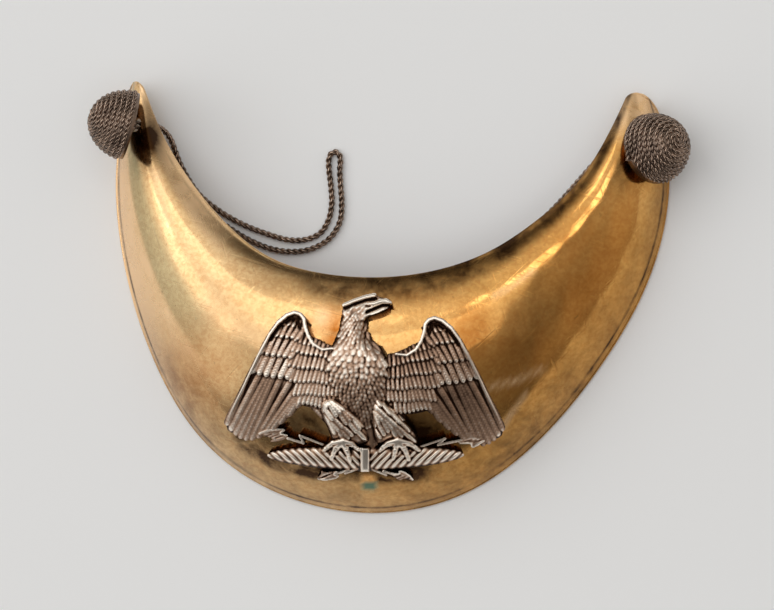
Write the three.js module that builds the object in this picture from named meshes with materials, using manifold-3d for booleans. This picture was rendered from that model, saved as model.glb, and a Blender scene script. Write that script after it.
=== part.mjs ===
// An officer's gorget: a crescent of gilt brass with a silver eagle badge, worn at the throat.
// It lies on its outer rim. Millimetres, +Z up, +Y towards the horns, origin under the middle.
import * as THREE from "three";
import { LoftGeometry } from "three/addons/geometries/LoftGeometry.js";
import { mergeVertices } from "three/addons/utils/BufferGeometryUtils.js";
import Module from "manifold-3d";

const wasm = await Module();
wasm.setup();

// Plate
const sheetThickness = 0.9;
const outerBeadRadius = 0.7;
const neckBeadRadius = 0.55;
const domeSquareness = 0.05; // how much the dome flattens on top and steepens at its edges
const curlReach = 4.0; // how quickly the neck edge's curl dies out across the plate
const tipRounding = 0.2; // length of a horn's rounded end, in stations
const plateSections = 46;

// Sections of the crescent from the left horn to the right one: the outer edge (ox, oy), the neck
// edge (nx, ny, nz), the rise of the dome above the straight line between them, its skew (below 1
// it is fuller towards the outer edge), and how far the neck edge curls down below that.
const stations = [
  { ox: -71.3, oy: 55.3, nx: -66.3, ny: 57.3, nz: 9.2, rise: 1.2, skew: 1.00, curl: 0.5 },
  { ox: -74.4, oy: 32.0, nx: -59.8, ny: 43.0, nz: 14.0, rise: 5.5, skew: 1.12, curl: 2.4 },
  { ox: -71.3, oy: 6.4, nx: -51.7, ny: 30.6, nz: 17.0, rise: 8.1, skew: 1.06, curl: 3.4 },
  { ox: -62.9, oy: -17.9, nx: -41.6, ny: 19.6, nz: 19.9, rise: 10.3, skew: 0.94, curl: 3.3 },
  { ox: -48.8, oy: -39.2, nx: -29.5, ny: 10.8, nz: 22.4, rise: 12.6, skew: 0.87, curl: 2.9 },
  { ox: -27.3, oy: -52.8, nx: -15.3, ny: 6.6, nz: 24.0, rise: 14.0, skew: 0.85, curl: 2.5 },
  { ox: -1.8, oy: -56.8, nx: -0.3, ny: 5.7, nz: 24.6, rise: 14.6, skew: 0.85, curl: 2.4 },
  { ox: 22.5, oy: -50.4, nx: 14.1, ny: 7.6, nz: 23.9, rise: 13.9, skew: 0.87, curl: 2.4 },
  { ox: 42.3, oy: -34.8, nx: 27.9, ny: 12.6, nz: 22.0, rise: 12.0, skew: 0.90, curl: 2.6 },
  { ox: 57.9, oy: -14.6, nx: 39.8, ny: 20.7, nz: 19.6, rise: 9.6, skew: 0.95, curl: 3.0 },
  { ox: 69.3, oy: 7.8, nx: 50.2, ny: 30.8, nz: 16.8, rise: 7.1, skew: 0.98, curl: 3.0 },
  { ox: 73.7, oy: 32.4, nx: 57.9, ny: 43.4, nz: 13.8, rise: 5.0, skew: 1.00, curl: 2.2 },
  { ox: 69.7, oy: 53.3, nx: 63.2, ny: 55.8, nz: 8.7, rise: 1.2, skew: 1.00, curl: 0.5 },
];

// Buttons: a dome wound with cord, on a neck of doubled cord that is knotted behind the horn
const buttonRadius = 9.6;
const buttonHeight = 11.6;
const windingTurns = 10;
const windingDepth = 0.3;
const buttonNeckRadius = 1.3;
const knotRadius = 2.0;
const knotLength = 3.0;
const knotDrop = 0.95; // from the sheet's underside to the knot
const buttonHoleGap = 0.6;
const horns = {
  left: { centre: [-68.4, 44.8, 16.9], tilt: 74, heading: 166, hole: [-66.6, 44.8] },
  right: { centre: [69.3, 39.9, 10.5], tilt: 46, heading: 20, hole: [68.0, 40.0] },
};

// Cord loops
const cordRadius = 0.85;
const cordSides = 8;
const clearance = 0.3;

// Badge, in its own plane: x to the right, y up, z off the plate
const badgeOrigin = new THREE.Vector2(-2.7, -24.0);
const badgeBase = 0.8;
const badgeGrid = 4.2;
const badgeGap = 0.42;
const studRadius = 1.0;
const studLength = 4.2;
const studs = [[-13.5, 6.0], [15.0, 5.0]];

function naturalSpline(values) {
  const last = values.length - 1;
  const ratio = [0];
  const right = [0];
  for (let i = 1; i < last; i += 1) {
    const pivot = 4 - ratio[i - 1];
    ratio[i] = 1 / pivot;
    right[i] = (6 * (values[i + 1] - 2 * values[i] + values[i - 1]) - right[i - 1]) / pivot;
  }
  const bend = new Array(last + 1).fill(0);
  for (let i = last - 1; i > 0; i -= 1) bend[i] = right[i] - ratio[i] * bend[i + 1];
  return (u) => {
    const i = THREE.MathUtils.clamp(Math.floor(u), 0, last - 1);
    const b = u - i;
    const a = 1 - b;
    return a * values[i] + b * values[i + 1] + ((a ** 3 - a) * bend[i] + (b ** 3 - b) * bend[i + 1]) / 6;
  };
}

const column = {};
for (const name of Object.keys(stations[0])) column[name] = naturalSpline(stations.map((row) => row[name]));
const lastStation = stations.length - 1;

// The straight line across the plate at station u, between the middles of its two beads.
function chord(u) {
  const outer = new THREE.Vector2(column.ox(u), column.oy(u));
  const neck = new THREE.Vector2(column.nx(u), column.ny(u));
  const inward = neck.clone().sub(outer).normalize();
  outer.addScaledVector(inward, outerBeadRadius);
  neck.addScaledVector(inward, -neckBeadRadius);
  return { outer, neck, inward, width: outer.distanceTo(neck) };
}

// The middle of the sheet at station u, a share s of the way from the outer bead to the neck bead.
function sheetPoint(u, s) {
  const { outer, neck, width } = chord(u);
  const angle = Math.PI * THREE.MathUtils.clamp(s, 0, 1) ** column.skew(u);
  const dome = Math.sin(angle) + domeSquareness * Math.sin(3 * angle);
  const curl = column.curl(u) * s * Math.exp((-(1 - s) * width) / curlReach);
  const z = THREE.MathUtils.lerp(outerBeadRadius, column.nz(u), s) + column.rise(u) * dome - curl;
  return new THREE.Vector3().set(
    THREE.MathUtils.lerp(outer.x, neck.x, s), THREE.MathUtils.lerp(outer.y, neck.y, s), z);
}

function sheetNormal(u, s) {
  const step = 0.004;
  const inside = THREE.MathUtils.clamp(s, step, 1 - step);
  const along = sheetPoint(u + step, inside).sub(sheetPoint(u - step, inside));
  const across = sheetPoint(u, inside + step).sub(sheetPoint(u, inside - step));
  return along.cross(across).normalize();
}

// Station and share across of the sheet point straight below (x, y), by Newton's method.
function findOnSheet(x, y) {
  const guess = { u: 6 + x / 24, s: THREE.MathUtils.clamp((y + 56) / 62, 0.05, 0.95) };
  const step = 1e-3;
  for (let turn = 0; turn < 12; turn += 1) {
    const here = sheetPoint(guess.u, guess.s);
    const du = sheetPoint(guess.u + step, guess.s).sub(here).divideScalar(step);
    const ds = sheetPoint(guess.u, guess.s + step).sub(here).divideScalar(step);
    const det = du.x * ds.y - du.y * ds.x;
    const ex = x - here.x;
    const ey = y - here.y;
    guess.u += (ex * ds.y - ey * ds.x) / det;
    guess.s += (du.x * ey - du.y * ex) / det;
  }
  return guess;
}

function toManifold(geometry) {
  const bare = new THREE.BufferGeometry();
  bare.setAttribute("position", geometry.attributes.position);
  bare.setIndex(geometry.index);
  const merged = mergeVertices(bare, 1e-4);
  return new wasm.Manifold(new wasm.Mesh({
    numProp: 3,
    vertProperties: new Float32Array(merged.attributes.position.array),
    triVerts: new Uint32Array(merged.index.array),
  }));
}

function toGeometry(manifold) {
  const mesh = manifold.getMesh();
  const geometry = new THREE.BufferGeometry();
  geometry.setAttribute("position", new THREE.Float32BufferAttribute(mesh.vertProperties, 3));
  geometry.setIndex(new THREE.Uint32BufferAttribute(mesh.triVerts, 1));
  geometry.computeVertexNormals();
  return geometry;
}

// A closed loft through rings of points, wound so that its faces point outwards.
function loft(rings) {
  const [first, second] = rings;
  const normal = new THREE.Vector3();
  const ahead = new THREE.Vector3();
  first.forEach((point, i) => {
    normal.add(point.clone().cross(first[(i + 1) % first.length]));
    ahead.add(second[i]).sub(point);
  });
  const wound = normal.dot(ahead) < 0 ? rings.map((ring) => ring.slice().reverse()) : rings;
  return new LoftGeometry(wound, { capStart: true, capEnd: true });
}

const join = (solids) => solids.reduce((whole, solid) => whole.add(solid));
const largest = (solid) => solid.decompose().sort((a, b) => b.volume() - a.volume())[0];

function meshOf(name, geometry, color, roughness, metalness) {
  const mesh = new THREE.Mesh(geometry, new THREE.MeshStandardMaterial({ color, roughness, metalness }));
  mesh.name = name;
  return mesh;
}

// A rod from one point along a direction, as a manifold.
function rod(start, direction, length, radius, sides) {
  const geometry = new THREE.CylinderGeometry(radius, radius, length, sides);
  geometry.translate(0, length / 2, 0);
  geometry.applyQuaternion(new THREE.Quaternion().setFromUnitVectors(new THREE.Vector3(0, 1, 0), direction));
  geometry.translate(start.x, start.y, start.z);
  return toManifold(geometry);
}

// A round tube that follows the given points.
function tube(points, radius, sides, steps) {
  const section = new THREE.Shape();
  for (let i = 0; i < sides; i += 1) {
    const angle = (2 * Math.PI * i) / sides;
    const [x, y] = [radius * Math.cos(angle), radius * Math.sin(angle)];
    if (i === 0) section.moveTo(x, y);
    else section.lineTo(x, y);
  }
  const extrudePath = new THREE.CatmullRomCurve3(points, false, "centripetal");
  return new THREE.ExtrudeGeometry(section, { extrudePath, steps, curveSegments: 1 });
}

// Gorget plate

// One closed section of the plate: up the outside, round the neck bead, down the inside and
// round the outer bead. It narrows at a horn's end.
function plateSection(u) {
  const { outer, inward, width } = chord(u);
  const fromTip = Math.min(u, lastStation - u) / tipRounding;
  const narrowing = fromTip < 1 ? Math.max(0.45, Math.sqrt(1 - (1 - fromTip) ** 2)) : 1;
  const slimming = Math.max(0.5, narrowing);
  const place = (s) => 0.5 + (s - 0.5) * narrowing;
  const upright = new THREE.Vector3(0, 0, 1);
  const level = new THREE.Vector3(inward.x, inward.y, 0);
  const bead = (s, fullRadius, side) => {
    const radius = fullRadius * slimming;
    const centre = sheetPoint(u, place(s));
    const near = sheetPoint(u, place(s + (s < 0.5 ? 0.03 : -0.03)));
    const outwards = Math.atan2(centre.z - near.z, centre.clone().sub(near).dot(level));
    const points = [];
    for (const turn of [120, 60, 0, -60, -120]) {
      const angle = outwards - side * THREE.MathUtils.degToRad(turn);
      points.push(centre.clone().addScaledVector(level, radius * Math.cos(angle))
        .addScaledVector(upright, radius * Math.sin(angle)));
    }
    return points;
  };
  const margin = (radius) => (1.9 * radius * slimming) / (width * narrowing);
  const from = margin(outerBeadRadius);
  const to = 1 - margin(neckBeadRadius);
  const side = (count, offset) => {
    const points = [];
    for (let i = 0; i <= count; i += 1) {
      const share = (1 - Math.cos((Math.PI * i) / count)) / 2;
      const s = place(THREE.MathUtils.lerp(from, to, share));
      points.push(sheetPoint(u, s).addScaledVector(sheetNormal(u, s), offset));
    }
    return points;
  };
  return [
    ...side(8, (slimming * sheetThickness) / 2),
    ...bead(1, neckBeadRadius, -1),
    ...side(5, (-slimming * sheetThickness) / 2).reverse(),
    ...bead(0, outerBeadRadius, -1),
  ];
}

function plateSolid() {
  const sections = [];
  for (let i = 0; i <= plateSections; i += 1) {
    // closer together at the horns, where the ends are rounded
    const turn = (2 * Math.PI * i) / plateSections;
    sections.push(plateSection((lastStation * (turn - 0.85 * Math.sin(turn))) / (2 * Math.PI)));
  }
  return toManifold(loft(sections));
}

// Buttons

function hornHole(horn) {
  const { u, s } = findOnSheet(...horn.hole);
  return { point: sheetPoint(u, s), inwards: sheetNormal(u, s).negate() };
}

function buttonSolid(horn) {
  const profile = [new THREE.Vector2(0, 0)];
  const steps = windingTurns * 2;
  for (let i = 0; i < steps; i += 1) {
    const angle = (Math.PI / 2) * (i / steps);
    const reach = i % 2 === 0 ? -windingDepth : 0;
    profile.push(new THREE.Vector2(
      (buttonRadius + reach) * Math.cos(angle), (buttonHeight + reach) * Math.sin(angle) + 0.25));
  }
  profile[1].y = 0;
  profile.push(new THREE.Vector2(0, buttonHeight));
  const dome = new THREE.LatheGeometry(profile, 16);
  const tilt = THREE.MathUtils.degToRad(horn.tilt);
  const heading = THREE.MathUtils.degToRad(horn.heading);
  const axis = new THREE.Vector3(
    Math.sin(tilt) * Math.cos(heading), Math.sin(tilt) * Math.sin(heading), Math.cos(tilt));
  const centre = new THREE.Vector3(...horn.centre);
  dome.applyQuaternion(new THREE.Quaternion().setFromUnitVectors(new THREE.Vector3(0, 1, 0), axis));
  dome.translate(centre.x, centre.y, centre.z);
  const { point, inwards } = hornHole(horn);
  const below = (depth) => point.clone().addScaledVector(inwards, depth);
  const neckEnd = sheetThickness / 2 + knotDrop + 0.4;
  const neck = tube([
    centre.clone().addScaledVector(axis, 2),
    centre.clone().addScaledVector(axis, -0.6),
    below(-sheetThickness / 2 - 0.9),
    below(neckEnd),
  ], buttonNeckRadius, 8, 6);
  const knot = rod(below(sheetThickness / 2 + knotDrop), inwards, knotLength, knotRadius, 12);
  return largest(join([toManifold(dome), toManifold(neck), knot]));
}

// Cord loops

// Where a strand of the loop leaves the knot: its end, and the point that gives its direction.
function strandEnd(horn, sideways) {
  const { point, inwards } = hornHole(horn);
  const depth = sheetThickness / 2 + knotDrop + knotLength + clearance;
  const across = new THREE.Vector3(0, 0, 1).cross(inwards).normalize();
  const end = point.clone().addScaledVector(inwards, depth).addScaledVector(across, sideways * 1.15);
  return [end, end.clone().addScaledVector(inwards, 1.2)];
}

function cordSolid(points) {
  const path = points.map((p) => (p.isVector3 ? p : new THREE.Vector3(...p)));
  return tube(path, cordRadius, cordSides, 44);
}

const lying = 1.0; // height of a cord's middle on the surface that the gorget lies on

const leftLoop = [
  ...strandEnd(horns.left, 1),
  [-60.9, 43.9, 5.1],
  [-59.3, 41.6, 2.7],
  [-58.1, 38.0, 1.2],
  [-56.3, 34.0, lying],
  [-51.9, 27.4, lying],
  [-46.4, 23.0, lying],
  [-39.9, 19.4, lying],
  [-32.9, 16.8, lying],
  [-27.0, 15.3, lying],
  [-22.6, 15.5, lying],
  [-19.2, 17.5, lying],
  [-17.8, 21.2, lying],
  [-17.7, 25.4, lying],
  [-18.2, 29.8, lying],
  [-18.9, 33.8, lying],
  [-18.4, 37.0, lying],
  [-15.9, 39.0, lying],
  [-13.3, 37.2, lying],
  [-12.7, 33.8, lying],
  [-13.7, 30.0, lying],
  [-14.9, 25.2, lying],
  [-14.9, 20.4, lying],
  [-16.9, 16.0, lying],
  [-20.7, 13.1, lying],
  [-25.6, 12.2, lying],
  [-31.5, 12.8, lying],
  [-37.9, 15.2, lying],
  [-44.5, 19.0, lying],
  [-50.7, 23.2, lying],
  [-56.5, 28.7, lying],
  [-61.3, 34.8, lying],
  [-61.9, 38.4, 2.4],
  [-62.0, 41.2, 4.9],
  ...strandEnd(horns.left, -1).reverse(),
];

const rightLoop = [
  ...strandEnd(horns.right, -1),
  [61.5, 40.7, 4.2],
  [58.9, 41.2, 2.2],
  [56.1, 40.6, lying],
  [53.3, 38.2, lying],
  [48.9, 32.6, lying],
  [43.7, 26.6, lying],
  [37.7, 20.8, lying],
  [31.7, 15.4, lying],
  [25.3, 10.4, lying],
  [18.5, 6.6, lying],
  [11.3, 4.4, lying],
  [4.1, 3.6, lying],
  [-0.7, 3.4, lying],
  [-4.1, 2.0, lying],
  [-5.3, -1.0, lying],
  [-3.9, -4.0, lying],
  [-0.3, -4.6, lying],
  [5.1, -2.6, lying],
  [11.3, 0.0, lying],
  [18.9, 3.4, lying],
  [26.1, 7.6, lying],
  [32.9, 12.2, lying],
  [39.1, 17.6, lying],
  [45.1, 23.4, lying],
  [50.5, 29.6, lying],
  [55.1, 34.8, lying],
  [58.9, 37.4, 2.2],
  [61.7, 38.0, 4.2],
  ...strandEnd(horns.right, 1).reverse(),
];

// Eagle badge

function outline(points) {
  const shape = new THREE.Shape();
  shape.setFromPoints(points.map(([x, y]) => new THREE.Vector2(x, y)));
  return shape;
}

function slab(points, top) {
  return toManifold(new THREE.ExtrudeGeometry(outline(points), { depth: top, bevelEnabled: false }));
}

const turned = ([x, y], degrees) => {
  const angle = THREE.MathUtils.degToRad(degrees);
  return [x * Math.cos(angle) - y * Math.sin(angle), x * Math.sin(angle) + y * Math.cos(angle)];
};

// A feather: a blade with a ridge along its middle and a rounded tip. Angle 0 points down.
function feather({ tip, length, width, angle, top }) {
  const sections = [];
  for (const [share, half] of [[0, 0.42], [0.75, 0.5], [1, 0.16]]) {
    const back = length * (1 - share);
    const edge = half * width;
    const shoulder = top - 0.35;
    const profile = [[-edge, 0], [edge, 0], [edge, shoulder], [0, top], [-edge, shoulder]];
    sections.push(profile.map(([side, z]) => {
      const [x, y] = turned([side, back], angle);
      return new THREE.Vector3(tip[0] + x, tip[1] + y, z);
    }));
  }
  return toManifold(loft(sections));
}

const mix = (pair, share) => THREE.MathUtils.lerp(pair[0], pair[1], share);

// Rows of feathers on the right-hand wing: the line of their tips, their number, length, width and
// height, and their slant at the row's two ends. The left-hand wing is its mirror image.
const wingRows = [
  { from: [36.6, -8.0], to: [27.0, -11.2], count: 5, length: 18, width: 2.2, slant: [24, 31], top: 1.5 },
  { from: [24.6, -10.2], to: [19.0, -5.6], count: 3, length: 12, width: 2.2, slant: [34, 38], top: 1.4 },
  { from: [16.6, -1.6], to: [10.6, -4.0], count: 4, length: 5, width: 1.7, slant: [22, 10], top: 1.8 },
  { from: [17.8, 4.2], to: [10.4, 1.0], count: 5, length: 5, width: 1.7, slant: [22, 10], top: 2.1 },
  { from: [18.4, 9.4], to: [10.4, 5.6], count: 5, length: 4.5, width: 1.7, slant: [22, 12], top: 2.4 },
  { from: [29.0, 4.6], to: [20.2, 3.2], count: 5, length: 5.5, width: 2.1, slant: [27, 30], top: 1.9 },
  { from: [26.4, 9.6], to: [20.2, 8.2], count: 4, length: 5, width: 1.9, slant: [27, 30], top: 2.2 },
  { from: [23.4, 13.8], to: [18.2, 12.8], count: 3, length: 4, width: 2.0, slant: [30, 28], top: 2.4 },
];

const wingBase = [
  [8.0, -4.0], [10.5, -3.4], [17.0, -1.4], [20.0, -5.0], [26.0, -9.0], [34.4, -8.6], [36.0, -7.0],
  [31.4, 1.9], [27.6, 10.0], [24.4, 15.6], [21.4, 18.7], [19.2, 20.2], [17.0, 20.2], [15.4, 18.6],
  [14.8, 15.6], [13.4, 12.9], [10.8, 11.6], [6.0, 11.4], [3.0, 4.0],
];
const wingBorder = [
  [36.0, -7.0], [31.4, 1.9], [27.6, 10.0], [24.4, 15.6], [21.4, 18.7], [19.2, 20.2], [17.0, 20.2],
  [15.4, 18.6], [14.8, 15.6], [13.4, 12.9], [10.8, 11.6], [7.0, 11.0],
];

function wing(mirror, shift) {
  const put = ([x, y]) => [mirror * x + shift[0], y + shift[1]];
  const solids = [slab(mirror > 0 ? wingBase.map(put) : wingBase.map(put).reverse(), badgeBase + 0.3)];
  for (const row of wingRows) {
    for (let i = 0; i < row.count; i += 1) {
      const share = i / (row.count - 1);
      solids.push(feather({
        tip: put([mix([row.from[0], row.to[0]], share), mix([row.from[1], row.to[1]], share)]),
        length: row.length,
        width: row.width,
        angle: mirror * mix(row.slant, share),
        top: row.top,
      }));
    }
  }
  const rim = wingBorder.map(put).map(([x, y]) => new THREE.Vector3(x, y, 1.9));
  solids.push(toManifold(tube(rim, 0.6, 6, 16)));
  return join(solids);
}

// A rounded mass, such as the chest or a thigh, its long axis turned from upright.
function mass(centre, radii, degrees, detail = [8, 6]) {
  const geometry = new THREE.SphereGeometry(1, ...detail);
  geometry.scale(...radii);
  geometry.rotateZ(THREE.MathUtils.degToRad(degrees));
  geometry.translate(centre[0], centre[1], badgeBase / 2);
  return toManifold(geometry);
}

const headOutline = [
  [-4.9, 21.8], [-4.6, 22.6], [2.6, 25.1], [4.9, 24.9], [4.4, 23.2], [7.5, 23.6], [7.8, 22.4], [6.6, 21.4],
  [4.6, 20.7], [2.0, 19.2], [0.6, 17.2], [-4.8, 17.0],
];
const tailOutline = [[-0.5, -3.0], [4.4, -3.0], [3.4, -14.4], [0.6, -14.4]];

// Half of the thunderbolt: a spindle twisted like rope, in half round.
function spindle(length, tipRise) {
  const turns = 10;
  const perTurn = 2;
  const sections = [];
  for (let i = 0; i <= turns * perTurn; i += 1) {
    const share = i / (turns * perTurn);
    const swell = i % perTurn === 0 ? 0.86 : 1.0;
    const radius = 2.9 * Math.sqrt(Math.max(0.02, 1 - share ** 1.8)) * swell;
    const ring = [];
    for (let k = 0; k < 6; k += 1) {
      const angle = (2 * Math.PI * k) / 6;
      const slant = -0.7 * Math.cos(angle) * Math.sign(length);
      ring.push(new THREE.Vector3(
        length * share + slant, radius * Math.cos(angle) + tipRise * share, radius * Math.sin(angle) + 0.6));
    }
    sections.push(ring);
  }
  const solid = loft(sections);
  solid.translate(0.9, -17.1, 0);
  return toManifold(solid);
}

// A dart with a zigzag shaft and an arrow head, pointing along +x before it is turned.
function dart(start, length, degrees, flip) {
  const flat = [
    [0, -0.5], [length * 0.42, -1.2], [length * 0.4, 0.1], [length - 3.2, -0.9], [length - 3.4, -1.9],
    [length, 0], [length - 3.8, 1.9], [length - 3.4, 0.8], [length * 0.3, 1.5], [length * 0.32, 0.4],
    [0, 0.5],
  ];
  const points = flat.map(([x, y]) => {
    const [tx, ty] = turned([x, flip * y], degrees);
    return [start[0] + tx, start[1] + ty];
  });
  return slab(flip > 0 ? points : points.reverse(), 1.7);
}

// Three toes of a claw gripping the thunderbolt.
function claw(centre, lean) {
  return [-1, 0, 1].map((toe) => mass(
    [centre[0] + 2.0 * toe, centre[1] - 0.4 * Math.abs(toe)], [0.9, 2.4, 3.4], lean - 22 * toe, [6, 4]));
}

function badgeRelief() {
  const chest = [];
  for (let row = 0; row < 3; row += 1) {
    for (let i = -1; i <= 1; i += 1) {
      chest.push(feather({
        tip: [-1.4 + 0.6 * row + i * 3.4, 6.6 - 4.2 * row],
        length: 5.5,
        width: 3.2,
        angle: -6 * i,
        top: 5.2 - 0.35 * row - 0.9 * Math.abs(i),
      }));
    }
  }
  return join([
    wing(1, [1.3, -1.4]),
    wing(-1, [0, 0]),
    mass([-1.0, 4.6], [8.2, 12.2, 4.6], -10),
    mass([-2.4, 14.6], [3.9, 7.4, 3.4], -8),
    slab(headOutline, 2.9),
    slab(tailOutline.slice().reverse(), 2.4),
    mass([-4.4, -5.6], [4.0, 7.4, 4.2], 38),
    mass([8.8, -6.2], [3.8, 7.4, 4.2], 36),
    ...chest,
    spindle(25.0, 1.2),
    spindle(-24.8, 1.3),
    slab([[-0.5, -20.2], [1.9, -20.2], [1.9, -14.2], [-0.5, -14.2]], 3.9),
    ...claw([-5.4, -14.2], 0),
    ...claw([9.4, -14.4], 0),
    dart([-9.0, -14.2], 18.4, 168, -1),
    dart([15.0, -14.0], 17.2, 7, 1),
    dart([-4.0, -19.4], 9.0, 194, 1),
    dart([5.6, -19.9], 8.8, -17, -1),
  ]);
}

// The badge's flat back as a grid, dished by a hair so that its squares stay apart.
function backGrid() {
  const [width, height, deep] = [84, 56, 12];
  const geometry = new THREE.BoxGeometry(width, height, deep, width / badgeGrid, height / badgeGrid, 1);
  geometry.translate(0, 0, deep / 2);
  const position = geometry.attributes.position;
  for (let i = 0; i < position.count; i += 1) {
    if (position.getZ(i) < 1) {
      position.setZ(i, 1e-4 * (position.getX(i) ** 2 + position.getY(i) ** 2));
    }
  }
  return toManifold(geometry);
}

// Lays a flat solid on the plate: each height is measured square off the plate's outer face.
function layOnPlate(geometry) {
  const position = geometry.attributes.position;
  for (let i = 0; i < position.count; i += 1) {
    const where = findOnSheet(badgeOrigin.x + position.getX(i), badgeOrigin.y + position.getY(i));
    const height = sheetThickness / 2 + badgeGap + position.getZ(i);
    const point = sheetPoint(where.u, where.s).addScaledVector(sheetNormal(where.u, where.s), height);
    position.setXYZ(i, point.x, point.y, point.z);
  }
  geometry.computeVertexNormals();
  return geometry;
}

function studRod(stud, from, to, radius) {
  const start = new THREE.Vector3(stud[0], stud[1], from);
  return rod(start, new THREE.Vector3(0, 0, -1), from - to, radius, 8);
}

function badgeGeometry() {
  const relief = badgeRelief().simplify(0.08).intersect(backGrid());
  const pins = studs.map((stud) => studRod(stud, badgeBase, -studLength, studRadius));
  return layOnPlate(toGeometry(largest(join([relief, ...pins]).simplify(0.001))));
}

function studHole(stud) {
  const geometry = toGeometry(studRod(stud, 3, -6, studRadius + clearance));
  return toManifold(layOnPlate(geometry));
}

function plateGeometry() {
  let plate = plateSolid();
  for (const horn of Object.values(horns)) {
    const { point, inwards } = hornHole(horn);
    const start = point.clone().addScaledVector(inwards, -4);
    plate = plate.subtract(rod(start, inwards, 8, buttonNeckRadius + buttonHoleGap, 12));
  }
  for (const stud of studs) plate = plate.subtract(studHole(stud));
  return toGeometry(plate);
}

const gorget = new THREE.Group();
gorget.add(
  meshOf("gorget_plate", plateGeometry(), 0xc08a3c, 0.22, 1.0),
  meshOf("eagle_badge", badgeGeometry(), 0xb9a898, 0.4, 1.0),
  meshOf("left_button", toGeometry(buttonSolid(horns.left)), 0x4a3c34, 0.5, 0.7),
  meshOf("right_button", toGeometry(buttonSolid(horns.right)), 0x4a3c34, 0.5, 0.7),
  meshOf("left_cord_loop", cordSolid(leftLoop), 0x3a2c26, 0.55, 0.6),
  meshOf("right_cord_loop", cordSolid(rightLoop), 0x3a2c26, 0.55, 0.6),
);

export default gorget;
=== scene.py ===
import math

import bmesh
import bpy
import numpy as np
from mathutils import Matrix, Vector
from mathutils.geometry import delaunay_2d_cdt


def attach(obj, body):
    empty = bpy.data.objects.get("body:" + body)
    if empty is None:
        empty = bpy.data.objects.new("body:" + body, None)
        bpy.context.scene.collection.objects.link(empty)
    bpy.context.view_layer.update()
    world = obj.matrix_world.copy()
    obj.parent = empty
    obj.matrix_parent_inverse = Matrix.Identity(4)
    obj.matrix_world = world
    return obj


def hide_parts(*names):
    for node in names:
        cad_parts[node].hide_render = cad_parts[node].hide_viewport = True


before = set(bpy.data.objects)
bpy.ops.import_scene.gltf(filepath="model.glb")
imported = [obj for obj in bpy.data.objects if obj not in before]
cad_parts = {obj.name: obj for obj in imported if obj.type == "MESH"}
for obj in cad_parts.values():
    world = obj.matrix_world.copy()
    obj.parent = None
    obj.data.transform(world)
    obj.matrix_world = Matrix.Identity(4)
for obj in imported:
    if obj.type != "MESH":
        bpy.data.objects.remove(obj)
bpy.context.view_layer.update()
mm = 0.001
scene = bpy.context.scene


# Helpers

def unit(vectors):
    return vectors / np.linalg.norm(vectors, axis=-1, keepdims=True)


def smoothStep(low, high, value):
    share = np.clip((value - low) / (high - low), 0, 1)
    return share * share * (3 - 2 * share)


def addObject(name, data):
    obj = bpy.data.objects.new(name, data)
    scene.collection.objects.link(obj)
    return obj


def shadeSmooth(mesh):
    mesh.polygons.foreach_set("use_smooth", [True] * len(mesh.polygons))


def meshObject(name, points, faces):
    mesh = bpy.data.meshes.new(name)
    mesh.from_pydata([tuple(p) for p in points], [], faces)
    shadeSmooth(mesh)
    mesh.update()
    return addObject(name, mesh)


def meshFrom(name, built):
    mesh = bpy.data.meshes.new(name)
    built.to_mesh(mesh)
    built.free()
    return mesh


# one value for each point of a mesh, for the materials to read
def storeValues(mesh, name, kind, key, values):
    attribute = mesh.attributes.new(name, kind, "POINT")
    attribute.data.foreach_set(key, values)


# a table's rows as dictionaries, with the names of its columns
def namedRows(columns, *table):
    return [dict(zip(columns.split(), row)) for row in table]


# an object with live modifiers becomes a plain mesh object of that name
def asMesh(obj, name):
    bpy.context.view_layer.update()
    graph = bpy.context.evaluated_depsgraph_get()
    mesh = bpy.data.meshes.new_from_object(obj.evaluated_get(graph), depsgraph=graph)
    plain = addObject(name, mesh)
    bpy.data.objects.remove(obj)
    return plain


def joinObjects(name, objects):
    mesh = bmesh.new()
    materials = []
    for obj in objects:
        for material in obj.data.materials:
            if material not in materials:
                materials.append(material)
    for obj in objects:
        first = len(mesh.faces)
        mesh.from_mesh(obj.data)
        mesh.faces.ensure_lookup_table()
        if obj.data.materials:
            index = materials.index(obj.data.materials[0])
            for face in mesh.faces[first:]:
                face.material_index = index
    joined = meshFrom(name, mesh)
    for material in materials:
        joined.materials.append(material)
    for obj in objects:
        bpy.data.objects.remove(obj)
    return addObject(name, joined)


def finishPiece(obj, material, *nodes):
    if material is not None:
        obj.data.materials.clear()
        obj.data.materials.append(material)
    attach(obj, "root")
    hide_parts(*nodes)
    return obj


# the inputs of a Geometry Nodes tree are set by their identifiers
def useTree(obj, tree, values):
    modifier = obj.modifiers.new(tree.name, "NODES")
    modifier.node_group = tree
    for item in tree.interface.items_tree:
        if item.item_type == "SOCKET" and item.in_out == "INPUT" and item.name in values:
            modifier[item.identifier] = values[item.name]
    return obj


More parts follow.
